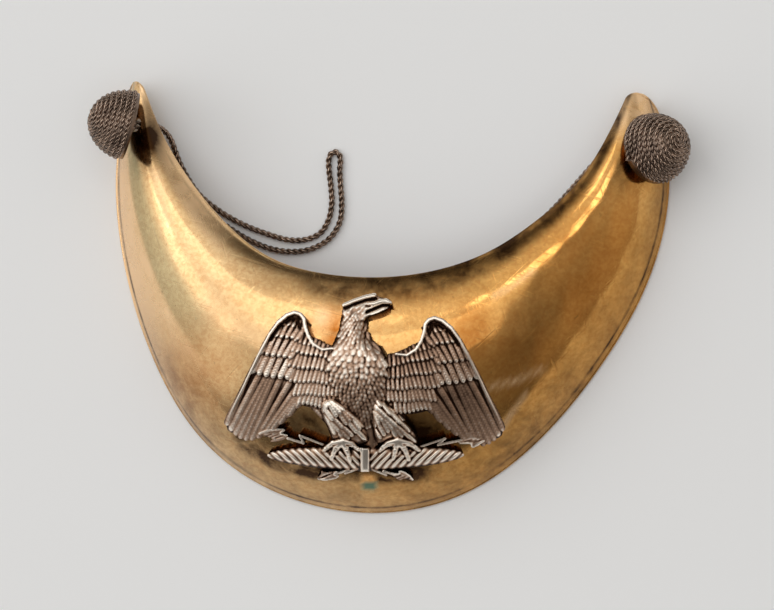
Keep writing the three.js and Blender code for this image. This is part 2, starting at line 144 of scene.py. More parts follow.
# nodes of one tree: add() places a node, sets its inputs from values or links, and returns it
class NodeBench:
    def __init__(self, tree):
        self.tree = tree

    def add(self, kind, inputs=None, **settings):
        node = self.tree.nodes.new(kind)
        for name, value in settings.items():
            setattr(node, name, value)
        for key, value in (inputs or {}).items():
            self.feed(node.inputs[key], value)
        return node

    def feed(self, socket, value):
        if isinstance(value, bpy.types.NodeSocket):
            self.tree.links.new(value, socket)
        elif isinstance(value, bpy.types.Node):
            self.tree.links.new(firstOutput(value), socket)
        else:
            socket.default_value = value

    def math(self, operation, *values):
        return self.add("ShaderNodeMath", dict(enumerate(values)), operation=operation).outputs[0]

    def vector(self, operation, *values):
        node = self.add("ShaderNodeVectorMath", dict(enumerate(values)), operation=operation)
        return firstOutput(node)

    def scaled(self, vector, factor):
        node = self.add("ShaderNodeVectorMath", {0: vector}, operation="SCALE")
        self.feed(node.inputs["Scale"], factor)
        return node.outputs[0]

    def plus(self, first, second):
        return self.math("ADD", first, second)

    def minus(self, first, second):
        return self.math("SUBTRACT", first, second)

    def times(self, first, second):
        return self.math("MULTIPLY", first, second)


def firstOutput(node):
    return next(socket for socket in node.outputs if socket.enabled)


def geometryTree(name, inputs, output):
    tree = bpy.data.node_groups.new(name, "GeometryNodeTree")
    for label, kind in inputs:
        tree.interface.new_socket(label, in_out="INPUT", socket_type="NodeSocket" + kind)
    tree.interface.new_socket(output, in_out="OUTPUT", socket_type="NodeSocketGeometry")
    return tree, NodeBench(tree), tree.nodes.new("NodeGroupInput").outputs


def endTree(bench, geometry, material, output):
    smooth = bench.add("GeometryNodeSetShadeSmooth", {"Geometry": geometry})
    real = bench.add("GeometryNodeRealizeInstances", {"Geometry": smooth})
    dressed = bench.add("GeometryNodeSetMaterial", {"Geometry": real, "Material": material})
    bench.add("NodeGroupOutput", {output: dressed})


# Camera and shared sizes

cameraView = {
    "lens": 159.49,
    "distance": 900.0,
    "lean": 8.0,  # degrees from straight above, towards +X
    "roll": 1.1,
    "target": (0.913, -1.512, 10.0),  # what the picture's middle shows, before the lean
    "pixels": 3.81,  # picture points to a millimetre at the target
    # the badge's origin from the picture's middle, and its picture points to a millimetre
    "badge": (-25.0, -87.0, 3.85),
}


def placeCamera():
    lean = math.radians(cameraView["lean"])
    roll = math.radians(cameraView["roll"])
    back = Vector((math.sin(lean), 0, math.cos(lean)))
    across = Vector((math.cos(lean), 0, -math.sin(lean)))
    up = Vector((0, 1, 0))
    right = across * math.cos(roll) + up * math.sin(roll)
    top = up * math.cos(roll) - across * math.sin(roll)
    data = bpy.data.cameras.new("camera")
    data.lens = cameraView["lens"]
    data.clip_start = 0.05
    camera = addObject("camera", data)
    turn = Matrix((right, top, back)).transposed().to_4x4()
    place = (Vector(cameraView["target"]) + back * cameraView["distance"]) * mm
    camera.matrix_world = Matrix.Translation(place) @ turn
    scene.camera = camera


placeCamera()
print("camera placed")


# The plate's sections, as the solid has them: the outer edge (ox, oy), the neck edge (nx, ny, nz),
# the rise of the dome, its skew, and how far the neck edge curls down
stationColumns = ("ox", "oy", "nx", "ny", "nz", "rise", "skew", "curl")
stations = np.array([
    (-71.3, 55.3, -66.3, 57.3, 9.2, 1.2, 1.00, 0.5),
    (-74.4, 32.0, -59.8, 43.0, 14.0, 5.5, 1.12, 2.4),
    (-71.3, 6.4, -51.7, 30.6, 17.0, 8.1, 1.06, 3.4),
    (-62.9, -17.9, -41.6, 19.6, 19.9, 10.3, 0.94, 3.3),
    (-48.8, -39.2, -29.5, 10.8, 22.4, 12.6, 0.87, 2.9),
    (-27.3, -52.8, -15.3, 6.6, 24.0, 14.0, 0.85, 2.5),
    (-1.8, -56.8, -0.3, 5.7, 24.6, 14.6, 0.85, 2.4),
    (22.5, -50.4, 14.1, 7.6, 23.9, 13.9, 0.87, 2.4),
    (42.3, -34.8, 27.9, 12.6, 22.0, 12.0, 0.90, 2.6),
    (57.9, -14.6, 39.8, 20.7, 19.6, 9.6, 0.95, 3.0),
    (69.3, 7.8, 50.2, 30.8, 16.8, 7.1, 0.98, 3.0),
    (73.7, 32.4, 57.9, 43.4, 13.8, 5.0, 1.00, 2.2),
    (69.7, 53.3, 63.2, 55.8, 8.7, 1.2, 1.00, 0.5),
])
lastStation = len(stations) - 1

plateSizes = {
    "sheetThickness": 0.9,
    "outerBeadRadius": 0.7,
    "beadTrim": 0.07,  # keeps the finer bead inside the solid's
    "neckBeadRadius": 0.55,
    "domeSquareness": 0.05,
    "curlReach": 4.0,
    "tipRounding": 0.2,  # in stations
    "sections": 300,
    "acrossSteps": 64,
    "dentDepth": 0.05,
    "rimStep": 0.28,  # least distance between the points of the rolled rim
    "rimSides": 18,
    "sharpAngle": 40,
}


def naturalSpline(values):
    last = len(values) - 1
    ratio = np.zeros(last + 1)
    right = np.zeros(last + 1)
    for i in range(1, last):
        pivot = 4 - ratio[i - 1]
        ratio[i] = 1 / pivot
        right[i] = (6 * (values[i + 1] - 2 * values[i] + values[i - 1]) - right[i - 1]) / pivot
    bend = np.zeros(last + 1)
    for i in range(last - 1, 0, -1):
        bend[i] = right[i] - ratio[i] * bend[i + 1]

    def curve(u):
        u = np.asarray(u, float)
        i = np.clip(np.floor(u).astype(int), 0, last - 1)
        b = u - i
        a = 1 - b
        return (a * values[i] + b * values[i + 1]
                + ((a ** 3 - a) * bend[i] + (b ** 3 - b) * bend[i + 1]) / 6)

    return curve


column = {name: naturalSpline(stations[:, i]) for i, name in enumerate(stationColumns)}


def sheetPoint(u, s):
    u, s = np.broadcast_arrays(np.asarray(u, float), np.asarray(s, float))
    outer = np.stack([column["ox"](u), column["oy"](u)], -1)
    neck = np.stack([column["nx"](u), column["ny"](u)], -1)
    inward = unit(neck - outer)
    outer = outer + inward * plateSizes["outerBeadRadius"]
    neck = neck - inward * plateSizes["neckBeadRadius"]
    width = np.linalg.norm(neck - outer, axis=-1)
    angle = np.pi * np.clip(s, 0, 1) ** column["skew"](u)
    dome = np.sin(angle) + plateSizes["domeSquareness"] * np.sin(3 * angle)
    curl = column["curl"](u) * s * np.exp(-(1 - s) * width / plateSizes["curlReach"])
    low = plateSizes["outerBeadRadius"]
    z = low + (column["nz"](u) - low) * s + column["rise"](u) * dome - curl
    flat = outer + (neck - outer) * s[..., None]
    return np.concatenate([flat, z[..., None]], -1)


def sheetNormal(u, s):
    step = 0.004
    inside = np.clip(s, step, 1 - step)
    along = sheetPoint(u + step, inside) - sheetPoint(u - step, inside)
    across = sheetPoint(u, inside + step) - sheetPoint(u, inside - step)
    return unit(np.cross(along, across))


# station and share across of the sheet points straight below (x, y), by Newton's method
def findOnSheet(x, y):
    x = np.asarray(x, float)
    y = np.asarray(y, float)
    u = 6 + x / 24
    s = np.clip((y + 56) / 62, 0.05, 0.95)
    step = 1e-3
    for turn in range(12):
        here = sheetPoint(u, s)
        du = (sheetPoint(u + step, s) - here) / step
        ds = (sheetPoint(u, s + step) - here) / step
        det = du[..., 0] * ds[..., 1] - du[..., 1] * ds[..., 0]
        ex = x - here[..., 0]
        ey = y - here[..., 1]
        u = np.clip(u + (ex * ds[..., 1] - ey * ds[..., 0]) / det, -0.5, lastStation + 0.5)
        s = np.clip(s + (du[..., 0] * ey - du[..., 1] * ex) / det, -0.2, 1.2)
    return u, s


buttonSizes = {
    "radius": 9.6,
    "height": 11.6,
    "windingTurns": 10,
    "plyRadius": 0.40,
    "plyPitch": 2.9,
    "neckRadius": 1.3,
    "knotRadius": 2.0,
    "knotLength": 3.0,
    "knotDrop": 0.95,
    "holeGap": 0.6,
    "windFrom": 5,  # degrees up the dome where the winding starts and ends
    "windTo": 88.5,
    "neckPly": {"plyRadius": 0.31, "pitch": 2.2, "step": 0.3},
    "neckSpread": 0.62,
    "knotPly": {"plyRadius": 0.42, "pitch": 3.0, "step": 0.4},
    "knotTurns": 2.4,
}
horns = {
    "left": {"centre": (-67.0, 44.2, 17.5), "tilt": 72, "heading": 166, "hole": (-66.6, 44.8),
             "start": 2.4},
    "right": {"centre": (69.3, 39.9, 10.5), "tilt": 46, "heading": 20, "hole": (68.0, 40.0),
              "start": 3.6},
}


def hornHole(horn):
    u, s = findOnSheet(*horn["hole"])
    return sheetPoint(u, s), -sheetNormal(u, s)


# Cord: plies twisted round a path

cordSizes = {
    "radius": 0.85,
    "plyRadius": 0.44,
    "plyPitch": 3.3,
    "clearance": 0.3,
    "lying": 1.0,  # height of a cord's middle on the floor
    "spread": 1.15,  # half the distance between the two strands where they leave the knot
    "plyOffset": 0.94,  # of the ply's radius
}


def twistedCordTree():
    tree, bench, given = geometryTree("twistedCord", [
        ("Path", "Geometry"), ("Ply Radius", "Float"), ("Ply Offset", "Float"), ("Pitch", "Float"),
        ("Step", "Float"), ("Plies", "Int"), ("Sides", "Int"), ("Material", "Material")], "Cord")
    resample = bench.add("GeometryNodeResampleCurve", {"Curve": given["Path"]}, mode="LENGTH")
    bench.feed(resample.inputs["Length"], given["Step"])
    plies = bench.add("GeometryNodeDuplicateElements",
                      {"Geometry": resample, "Amount": given["Plies"]}, domain="SPLINE")
    length = bench.add("GeometryNodeSplineParameter").outputs["Length"]
    turns = bench.math("DIVIDE", length, given["Pitch"])
    share = bench.math("DIVIDE", plies.outputs["Duplicate Index"], given["Plies"])
    angle = bench.times(bench.plus(turns, share), 2 * math.pi)
    normal = bench.add("GeometryNodeInputNormal").outputs["Normal"]
    tangent = bench.add("GeometryNodeInputTangent").outputs["Tangent"]
    binormal = bench.vector("CROSS_PRODUCT", tangent, normal)
    sideways = bench.scaled(normal, bench.math("COSINE", angle))
    upwards = bench.scaled(binormal, bench.math("SINE", angle))
    offset = bench.scaled(bench.vector("ADD", sideways, upwards), given["Ply Offset"])
    along = bench.add("GeometryNodeStoreNamedAttribute",
                      {"Geometry": plies.outputs["Geometry"], "Name": "alongCord", "Value": length},
                      data_type="FLOAT", domain="POINT")
    moved = bench.add("GeometryNodeSetPosition", {"Geometry": along, "Offset": offset})
    ring = bench.add("GeometryNodeCurvePrimitiveCircle",
                     {"Resolution": given["Sides"], "Radius": given["Ply Radius"]}, mode="RADIUS")
    around = bench.add("GeometryNodeStoreNamedAttribute",
                       {"Geometry": ring.outputs["Curve"], "Name": "aroundPly",
                        "Value": bench.add("GeometryNodeInputPosition")},
                       data_type="FLOAT_VECTOR", domain="POINT")
    skin = bench.add("GeometryNodeCurveToMesh",
                     {"Curve": moved, "Profile Curve": around, "Fill Caps": True})
    endTree(bench, skin, given["Material"], "Cord")
    return tree


def pathObject(name, points):
    curve = bpy.data.curves.new(name, "CURVE")
    curve.dimensions = "3D"
    curve.twist_mode = "MINIMUM"
    spline = curve.splines.new("POLY")
    spline.points.add(len(points) - 1)
    for place, point in zip(spline.points, points):
        place.co = (*point, 1)
    return addObject(name, curve)


def makeCord(name, points, plyRadius, pitch, material, step=0.45, sides=8):
    host = pathObject(name + "_path", np.asarray(points) * mm)
    useTree(host, twistedCord, {
        "Ply Radius": plyRadius * mm, "Ply Offset": plyRadius * cordSizes["plyOffset"] * mm,
        "Pitch": pitch * mm, "Step": step * mm, "Plies": 2, "Sides": sides, "Material": material})
    return asMesh(host, name)


# a smooth curve through given points, centripetal as in the part's source
def smoothPath(points, perSpan=12):
    points = np.asarray(points, float)
    ends = [2 * points[0] - points[1], *points, 2 * points[-1] - points[-2]]
    path = []
    for p0, p1, p2, p3 in zip(ends, ends[1:], ends[2:], ends[3:]):
        t1 = np.linalg.norm(p1 - p0) ** 0.5
        t2 = t1 + np.linalg.norm(p2 - p1) ** 0.5
        t3 = t2 + np.linalg.norm(p3 - p2) ** 0.5
        for t in np.linspace(t1, t2, perSpan, endpoint=False):
            a1 = (p0 * (t1 - t) + p1 * t) / t1
            a2 = (p1 * (t2 - t) + p2 * (t - t1)) / (t2 - t1)
            a3 = (p2 * (t3 - t) + p3 * (t - t2)) / (t3 - t2)
            b1 = (a1 * (t2 - t) + a2 * t) / t2
            b2 = (a2 * (t3 - t) + a3 * (t - t1)) / (t3 - t1)
            path.append((b1 * (t2 - t) + b2 * (t - t1)) / (t2 - t1))
    path.append(points[-1])
    return np.array(path)


def strandEnd(horn, sideways):
    point, inwards = hornHole(horn)
    depth = (plateSizes["sheetThickness"] / 2 + buttonSizes["knotDrop"] + buttonSizes["knotLength"]
             + cordSizes["clearance"])
    across = unit(np.cross((0, 0, 1), inwards))
    end = point + inwards * depth + across * sideways * cordSizes["spread"]
    return [end, end + inwards * 1.2]


# the strands' points; those of two numbers lie on the floor
def onFloor(points):
    return [(*point, cordSizes["lying"]) if len(point) == 2 else point for point in points]


leftLoop = onFloor([
    *strandEnd(horns["left"], 1),
    (-60.9, 43.9, 5.1), (-59.3, 41.6, 2.7), (-58.1, 38.0, 1.2), (-56.3, 34.0), (-51.9, 27.4),
    (-46.4, 23.0), (-39.9, 19.4), (-32.9, 16.8), (-27.0, 15.3), (-22.4, 15.5), (-18.6, 17.3),
    (-16.4, 21.0), (-15.7, 25.4), (-16.0, 29.8), (-16.6, 34.0), (-16.7, 36.8), (-16.2, 38.3),
    (-15.1, 38.9), (-14.0, 38.3), (-13.6, 36.8), (-13.7, 34.0), (-13.4, 29.8), (-13.0, 25.2),
    (-13.4, 20.4), (-16.1, 15.9), (-20.7, 13.1), (-25.6, 12.2), (-31.5, 12.8), (-37.9, 15.2),
    (-44.5, 19.0), (-50.7, 23.2), (-56.5, 28.7), (-61.3, 34.8), (-61.9, 38.4, 2.4), (-62.0, 41.2, 4.9),
    *strandEnd(horns["left"], -1)[::-1],
])
rightLoop = onFloor([
    *strandEnd(horns["right"], -1),
    (61.9, 40.2, 4.2), (59.8, 40.2, 2.3), (57.3, 39.5, 1.2), (54.5, 37.3), (49.7, 31.8), (44.5, 25.8),
    (38.6, 19.9), (32.5, 14.4), (26.1, 9.2), (18.9, 5.6), (11.3, 3.6), (4.1, 3.0), (-0.7, 2.9),
    (-4.1, 1.6), (-5.3, -1.2), (-3.9, -4.0), (-0.3, -4.6), (5.1, -2.9), (11.6, -0.6), (19.6, 2.4),
    (27.0, 6.4), (34.0, 10.9), (40.4, 16.2), (46.4, 22.0), (51.8, 28.2), (56.2, 33.4),
    (59.6, 36.3, 2.2), (61.9, 37.6, 4.2),
    *strandEnd(horns["right"], 1)[::-1],
])


# Shader groups

def shaderGroup(name, inputs, outputs):
    tree = bpy.data.node_groups.new(name, "ShaderNodeTree")
    for label, kind, value in inputs:
        socket = tree.interface.new_socket(label, in_out="INPUT", socket_type=kind)
        if value is not None:
            socket.default_value = value
    for label, kind in outputs:
        tree.interface.new_socket(label, in_out="OUTPUT", socket_type=kind)
    return tree, NodeBench(tree), tree.nodes.new("NodeGroupInput").outputs


def colour(red, green, blue):
    # from the colour picker's 0 to 255 to linear light
    def linear(level):
        return ((level / 255 + 0.055) / 1.055) ** 2.4 if level > 10 else level / 3294

    return linear(red), linear(green), linear(blue), 1.0


def ramp(bench, value, stops, mode="LINEAR"):
    node = bench.add("ShaderNodeValToRGB", {"Fac": value})
    node.color_ramp.interpolation = mode
    while len(node.color_ramp.elements) < len(stops):
        node.color_ramp.elements.new(0.5)
    for element, (place, tone) in zip(node.color_ramp.elements, stops):
        element.position = place
        element.color = tone if hasattr(tone, "__len__") else (tone, tone, tone, 1)
    return node.outputs["Color"]


def blend(bench, share, first, second, mode="MIX"):
    node = bench.add("ShaderNodeMix", data_type="RGBA", blend_type=mode)
    bench.feed(node.inputs["Factor"], share)
    bench.feed(node.inputs[6], first)
    bench.feed(node.inputs[7], second)
    return node.outputs[2]


def clamped(bench, value):
    return bench.add("ShaderNodeClamp", {"Value": value}).outputs[0]


# hairline scratches in three directions, as a mask of 0 to 1
def scratchGroup():
    tree, bench, given = shaderGroup("hairScratches", [
        ("Vector", "NodeSocketVector", None),
        ("Density", "NodeSocketFloat", 0.5),
        ("Scale", "NodeSocketFloat", 1.0),
    ], [("Scratches", "NodeSocketFloat")])
    total = None
    # turn, scratches to a metre, shift
    for angle, fine, offset in ((0.35, 900, 0.0), (-0.8, 1100, 3.1), (1.3, 800, 7.7)):
        mapping = bench.add("ShaderNodeMapping", {
            "Vector": given["Vector"], "Rotation": (0, 0, angle), "Location": (offset, offset, 0),
            "Scale": (1 / fine, 30 / fine, 5 / fine)}, vector_type="TEXTURE")
        noise = bench.add("ShaderNodeTexNoise", {"Vector": mapping, "Detail": 2.0, "Roughness": 0.5})
        bench.feed(noise.inputs["Scale"], given["Scale"])
        edge = bench.minus(1.0, bench.times(given["Density"], 0.5))
        above = bench.minus(noise.outputs["Fac"], bench.minus(edge, 0.06))
        line = clamped(bench, bench.times(above, 14.0))
        total = line if total is None else bench.math("MAXIMUM", total, line)
    bench.add("NodeGroupOutput", {"Scratches": total})
    return tree


# cloudy patches of tarnish, as a mask of 0 to 1
def cloudGroup():
    tree, bench, given = shaderGroup("tarnishClouds", [
        ("Vector", "NodeSocketVector", None),
        ("Scale", "NodeSocketFloat", 40.0),
        ("Amount", "NodeSocketFloat", 0.5),
        ("Softness", "NodeSocketFloat", 0.15),
    ], [("Clouds", "NodeSocketFloat")])
    noise = bench.add("ShaderNodeTexNoise", {"Vector": given["Vector"], "Scale": given["Scale"],
                                             "Detail": 6.0, "Roughness": 0.62, "Distortion": 0.4})
    raised = bench.minus(noise.outputs["Fac"], bench.minus(1.0, given["Amount"]))
    share = bench.plus(bench.math("DIVIDE", raised, given["Softness"]), 0.5)
    bench.add("NodeGroupOutput", {"Clouds": clamped(bench, share)})
    return tree


def newMaterial(name, metallic, roughness):
    material = bpy.data.materials.new(name)
    material.use_nodes = True
    tree = material.node_tree
    shader = tree.nodes["Principled BSDF"]
    shader.inputs["Metallic"].default_value = metallic
    shader.inputs["Roughness"].default_value = roughness
    return material, NodeBench(tree), shader


def groupNode(bench, tree, values):
    node = bench.add("ShaderNodeGroup", node_tree=tree)
    for name, value in values.items():
        bench.feed(node.inputs[name], value)
    return node.outputs[0]


twistedCord = twistedCordTree()
hairScratches = scratchGroup()
tarnishClouds = cloudGroup()


def clouds(bench, place, scale, amount, softness):
    return groupNode(bench, tarnishClouds,
                     {"Vector": place, "Scale": scale, "Amount": amount, "Softness": softness})


def scratches(bench, place, density, scale):
    return groupNode(bench, hairScratches, {"Vector": place, "Density": density, "Scale": scale})


def grainAt(bench, place, scale, detail):
    node = bench.add("ShaderNodeTexNoise", {"Vector": place, "Scale": scale, "Detail": detail})
    return node.outputs["Fac"]


def addBump(bench, shader, height, strength, distance):
    bump = bench.add("ShaderNodeBump", {"Height": height, "Strength": strength, "Distance": distance})
    bench.feed(shader.inputs["Normal"], bump)


# Brass

brassLooks = {
    "gold": colour(252, 216, 162),
    "deepGold": colour(236, 178, 98),
    "deepFrom": -45,  # from here to there, in mm towards +X, the gold deepens
    "deepTo": 25,
    "orange": colour(182, 106, 36),
    "brown": colour(66, 42, 22),
    "verdigrisAndReflection": colour(96, 140, 120),
    # peach: the colour of the painted reflection of the pale floor
    "peach": colour(255, 214, 164),
    "roughness": 0.075,
    "rougher": {"mottle": 0.05, "grain": 0.03, "scratches": 0.12, "shadeAndGrime": 0.08, "peach": 0.2,
                "verdigrisAndReflection": 0.4},  # what each mask adds to the roughness
    "fineBump": 700.0,
    "scratchDepth": 0.00003,
}


def brassMaterial():
    material, bench, shader = newMaterial("gilt_brass", 1.0, brassLooks["roughness"])
    place = bench.add("ShaderNodeTexCoord").outputs["Object"]
    patches = bench.add("ShaderNodeAttribute", attribute_name="patches")
    split = bench.add("ShaderNodeSeparateColor", {"Color": patches.outputs["Color"]}).outputs
    paintedReflection = patches.outputs["Alpha"]
    wide = clouds(bench, place, 26.0, 0.5, 0.5)
    mottle = clouds(bench, place, 160.0, 0.5, 0.35)
    grain = clouds(bench, place, 800.0, 0.5, 0.25)
    speck = clouds(bench, place, 420.0, 0.31, 0.08)
    rightward = bench.add("ShaderNodeMapRange", {
        "Value": bench.add("ShaderNodeSeparateXYZ", {"Vector": place}).outputs["X"],
        "From Min": brassLooks["deepFrom"] * mm, "From Max": brassLooks["deepTo"] * mm}).outputs[0]
    deep = bench.plus(bench.times(rightward, 0.8), bench.times(wide, 0.3))
    tone = blend(bench, clamped(bench, deep), brassLooks["gold"], brassLooks["deepGold"])
    uneven = bench.plus(0.5, bench.times(mottle, 0.75))
    tone = blend(bench, bench.times(grain, 0.34), tone, brassLooks["orange"])
    tone = blend(bench, clamped(bench, bench.times(split["Red"], uneven)), tone, brassLooks["orange"])
    # the alpha channel lays a painted reflection over the gold: the pale peach of the floor and pale streaks
    # of light, less metallic and rougher there
    peach = clamped(bench, bench.times(paintedReflection, uneven))
    tone = blend(bench, peach, tone, brassLooks["peach"])
    # the green channel darkens the gold towards brown: painted shade and dark reflections, some grime, and
    # the pits of speck
    shadeAndGrime = clamped(bench, bench.times(split["Green"], uneven))
    shadeAndGrime = bench.math("MAXIMUM", shadeAndGrime, bench.times(speck, 0.4))
    tone = blend(bench, shadeAndGrime, tone, brassLooks["brown"])
    # the blue channel: the green stain, and a painted green-grey reflection of the room on the left limb
    tone = blend(bench, split["Blue"], tone, brassLooks["verdigrisAndReflection"])
    bench.feed(shader.inputs["Base Color"], tone)
    scratched = bench.math("MAXIMUM", scratches(bench, place, 0.56, 1.0),
                           bench.times(scratches(bench, place, 0.6, 2.3), 0.6))
    bench.feed(shader.inputs["Metallic"], bench.minus(1.0, bench.times(peach, 0.3)))
    masks = {"mottle": mottle, "grain": grain, "scratches": scratched, "shadeAndGrime": shadeAndGrime, "peach": peach,
             "verdigrisAndReflection": split["Blue"]}
    rough = brassLooks["roughness"]
    for name, share in brassLooks["rougher"].items():
        rough = bench.plus(rough, bench.times(masks[name], share))
    bench.feed(shader.inputs["Roughness"], rough)
    fine = grainAt(bench, place, brassLooks["fineBump"], 3.0)
    height = bench.minus(bench.times(fine, 0.5), scratched)
    addBump(bench, shader, height, 0.35, brassLooks["scratchDepth"])
    return material


# Cord metal: dark bronze thread wound round each ply

threadLooks = {
    "dark": colour(36, 25, 20),
    "light": colour(244, 212, 188),
    "threads": 5,
    "threadPitch": 0.9,
    "threadDepth": 0.00006,
}


def threadMaterial():
    material, bench, shader = newMaterial("bronze_thread", 0.95, 0.26)
    place = bench.add("ShaderNodeTexCoord").outputs["Object"]
    along = bench.add("ShaderNodeAttribute", attribute_name="alongCord").outputs["Fac"]
    around = bench.add("ShaderNodeAttribute", attribute_name="aroundPly").outputs["Vector"]
    parts = bench.add("ShaderNodeSeparateXYZ", {"Vector": around})
    angle = bench.math("ARCTAN2", parts.outputs["Y"], parts.outputs["X"])
    turns = bench.times(along, 2 * math.pi / (threadLooks["threadPitch"] * mm))
    phase = bench.plus(turns, bench.times(angle, float(threadLooks["threads"])))
    # the crowns of the threads are painted light and the gaps between them dark: painted highlights and
    # shade, thinned in patches
    wave = bench.plus(0.5, bench.times(bench.math("SINE", phase), 0.5))
    wearAndLight = bench.plus(0.3, bench.times(clouds(bench, place, 300.0, 0.52, 0.4), 0.7))
    share = bench.times(bench.math("POWER", wave, 1.6), wearAndLight)
    bench.feed(shader.inputs["Base Color"], blend(bench, share, threadLooks["dark"], threadLooks["light"]))
    addBump(bench, shader, wave, 0.6, threadLooks["threadDepth"])
    return material


# Silver: bright on the ridges, brown-black in the hollows

silverLooks = {
    "hollow": colour(48, 30, 21),
    "middle": colour(184, 150, 126),
    "ridge": colour(255, 243, 228),
    "roughness": 0.3,
    "rougherHollows": 0.22,
    "grainDepth": 0.00003,
    # brightness of the flat, and what a millimetre of cavity and of height adds
    "shade": {"flat": 0.58, "cavity": 2.1, "height": 0.03, "back": 0.2},
}


def silverMaterial():
    material, bench, shader = newMaterial("oxidised_silver", 1.0, silverLooks["roughness"])
    place = bench.add("ShaderNodeTexCoord").outputs["Object"]
    relief = bench.add("ShaderNodeAttribute", attribute_name="relief").outputs["Fac"]
    wear = bench.plus(bench.times(clouds(bench, place, 120.0, 0.5, 0.5), 0.5),
                      bench.times(clouds(bench, place, 700.0, 0.5, 0.4), 0.5))
    height = bench.plus(relief, bench.times(bench.minus(wear, 0.5), 0.3))
    tone = ramp(bench, height, [(0.18, silverLooks["hollow"]), (0.52, silverLooks["middle"]),
                                (0.86, silverLooks["ridge"])])
    bench.feed(shader.inputs["Base Color"], tone)
    hollow = bench.times(bench.minus(1.0, relief), silverLooks["rougherHollows"])
    bench.feed(shader.inputs["Roughness"], bench.plus(silverLooks["roughness"], hollow))
    addBump(bench, shader, grainAt(bench, place, 2400.0, 2.0), 0.3, silverLooks["grainDepth"])
    return material


giltBrass = brassMaterial()
bronzeThread = threadMaterial()
oxidisedSilver = silverMaterial()


# Cord loops

def makeLoops():
    for side, points in (("left", leftLoop), ("right", rightLoop)):
        node = side + "_cord_loop"
        path = smoothPath(points)
        path[:, 2] = np.maximum(path[:, 2], cordSizes["lying"])
        cord = makeCord(side + "_loop_cord", path, cordSizes["plyRadius"], cordSizes["plyPitch"],
                        bronzeThread)
        finishPiece(cord, None, node)


makeLoops()
print("cord loops laid")


# Floor and light

studio = {
    "floorTone": (0.94, 0.945, 0.95, 1),
    "floorSize": 6.0,
    "skyStrength": 1.0,
    "skyBase": (0.10, 0.095, 0.09),
}


def makeFloor():
    half = studio["floorSize"] / 2
    floor = meshObject("floor", [(-half, -half, 0), (half, -half, 0), (half, half, 0), (-half, half, 0)],
                       [(0, 1, 2, 3)])
    material, bench, shader = newMaterial("floor_card", 0.0, 0.9)
    shader.inputs["Base Color"].default_value = studio["floorTone"]
    shader.inputs["Specular IOR Level"].default_value = 0.1
    place = bench.add("ShaderNodeTexCoord").outputs["Object"]
    addBump(bench, shader, grainAt(bench, place, 900.0, 3.0), 0.1, 0.0001)
    floor.data.materials.append(material)


# the room's glow: each lobe brightens the directions within its reach, in degrees
skyLobes = namedRows(
    "azimuth elevation reach tone",
    (166, 46, 74, (0.40, 0.40, 0.395)),
    (104, 50, 44, (0.46, 0.46, 0.45)),
    (20, 66, 50, (0.24, 0.235, 0.23)),
    (30, 18, 46, (0.26, 0.25, 0.23)),
    (-20, 34, 55, (0.12, 0.11, 0.10)),
    (-12, 6, 34, (0.24, 0.19, 0.14)),
    (-172, 16, 44, (0.58, 0.58, 0.57)),
)


# towards an azimuth and elevation in degrees
def direction(azimuth, elevation):
    azimuth, elevation = math.radians(azimuth), math.radians(elevation)
    return (math.cos(azimuth) * math.cos(elevation), math.sin(azimuth) * math.cos(elevation),
            math.sin(elevation))


def makeSky():
    world = bpy.data.worlds.new("studio")
    scene.world = world
    world.use_nodes = True
    bench = NodeBench(world.node_tree)
    background = world.node_tree.nodes["Background"]
    ray = bench.add("ShaderNodeTexCoord").outputs["Generated"]
    total = (*studio["skyBase"], 1)
    for lobe in skyLobes:
        towards = direction(lobe["azimuth"], lobe["elevation"])
        agree = bench.vector("DOT_PRODUCT", ray, towards)
        edge = math.cos(math.radians(lobe["reach"]))
        share = bench.add("ShaderNodeMapRange", {"Value": agree, "From Min": edge, "From Max": 1.0},
                          interpolation_type="SMOOTHSTEP").outputs[0]
        glow = blend(bench, share, (0, 0, 0, 1), (*lobe["tone"], 1))
        total = blend(bench, 1.0, total, glow, "ADD")
    bench.feed(background.inputs["Color"], total)
    background.inputs["Strength"].default_value = studio["skyStrength"]


softBoxes = namedRows(
    "name azimuth elevation distance size power",
    # azimuth and elevation in degrees, distance and size in metres, power in watts
    ("left_window", 160, 50, 1.6, (1.6, 1.4), 4.0),
    ("left_lamp", 171, 37, 1.3, (0.12, 0.16), 0.09),
    ("ceiling", -70, 83, 1.5, (1.2, 1.1), 2.3),
    ("back_window", 62, 66, 1.4, (0.46, 0.13), 0.4),
    ("back_lamp", 120, 46, 1.4, (0.3, 0.24), 0.3),
)


def makeLights():
    for box in softBoxes:
        data = bpy.data.lights.new(box["name"], "AREA")
        data.shape = "RECTANGLE"
        data.size, data.size_y = box["size"]
        data.energy = box["power"]
        light = addObject(box["name"], data)
        towards = Vector(direction(box["azimuth"], box["elevation"]))
        light.location = towards * box["distance"]
        light.rotation_euler = towards.to_track_quat("Z", "Y").to_euler()


makeFloor()
makeSky()
makeLights()
scene.view_settings.view_transform = "Standard"
print("floor and light set")


# Plate

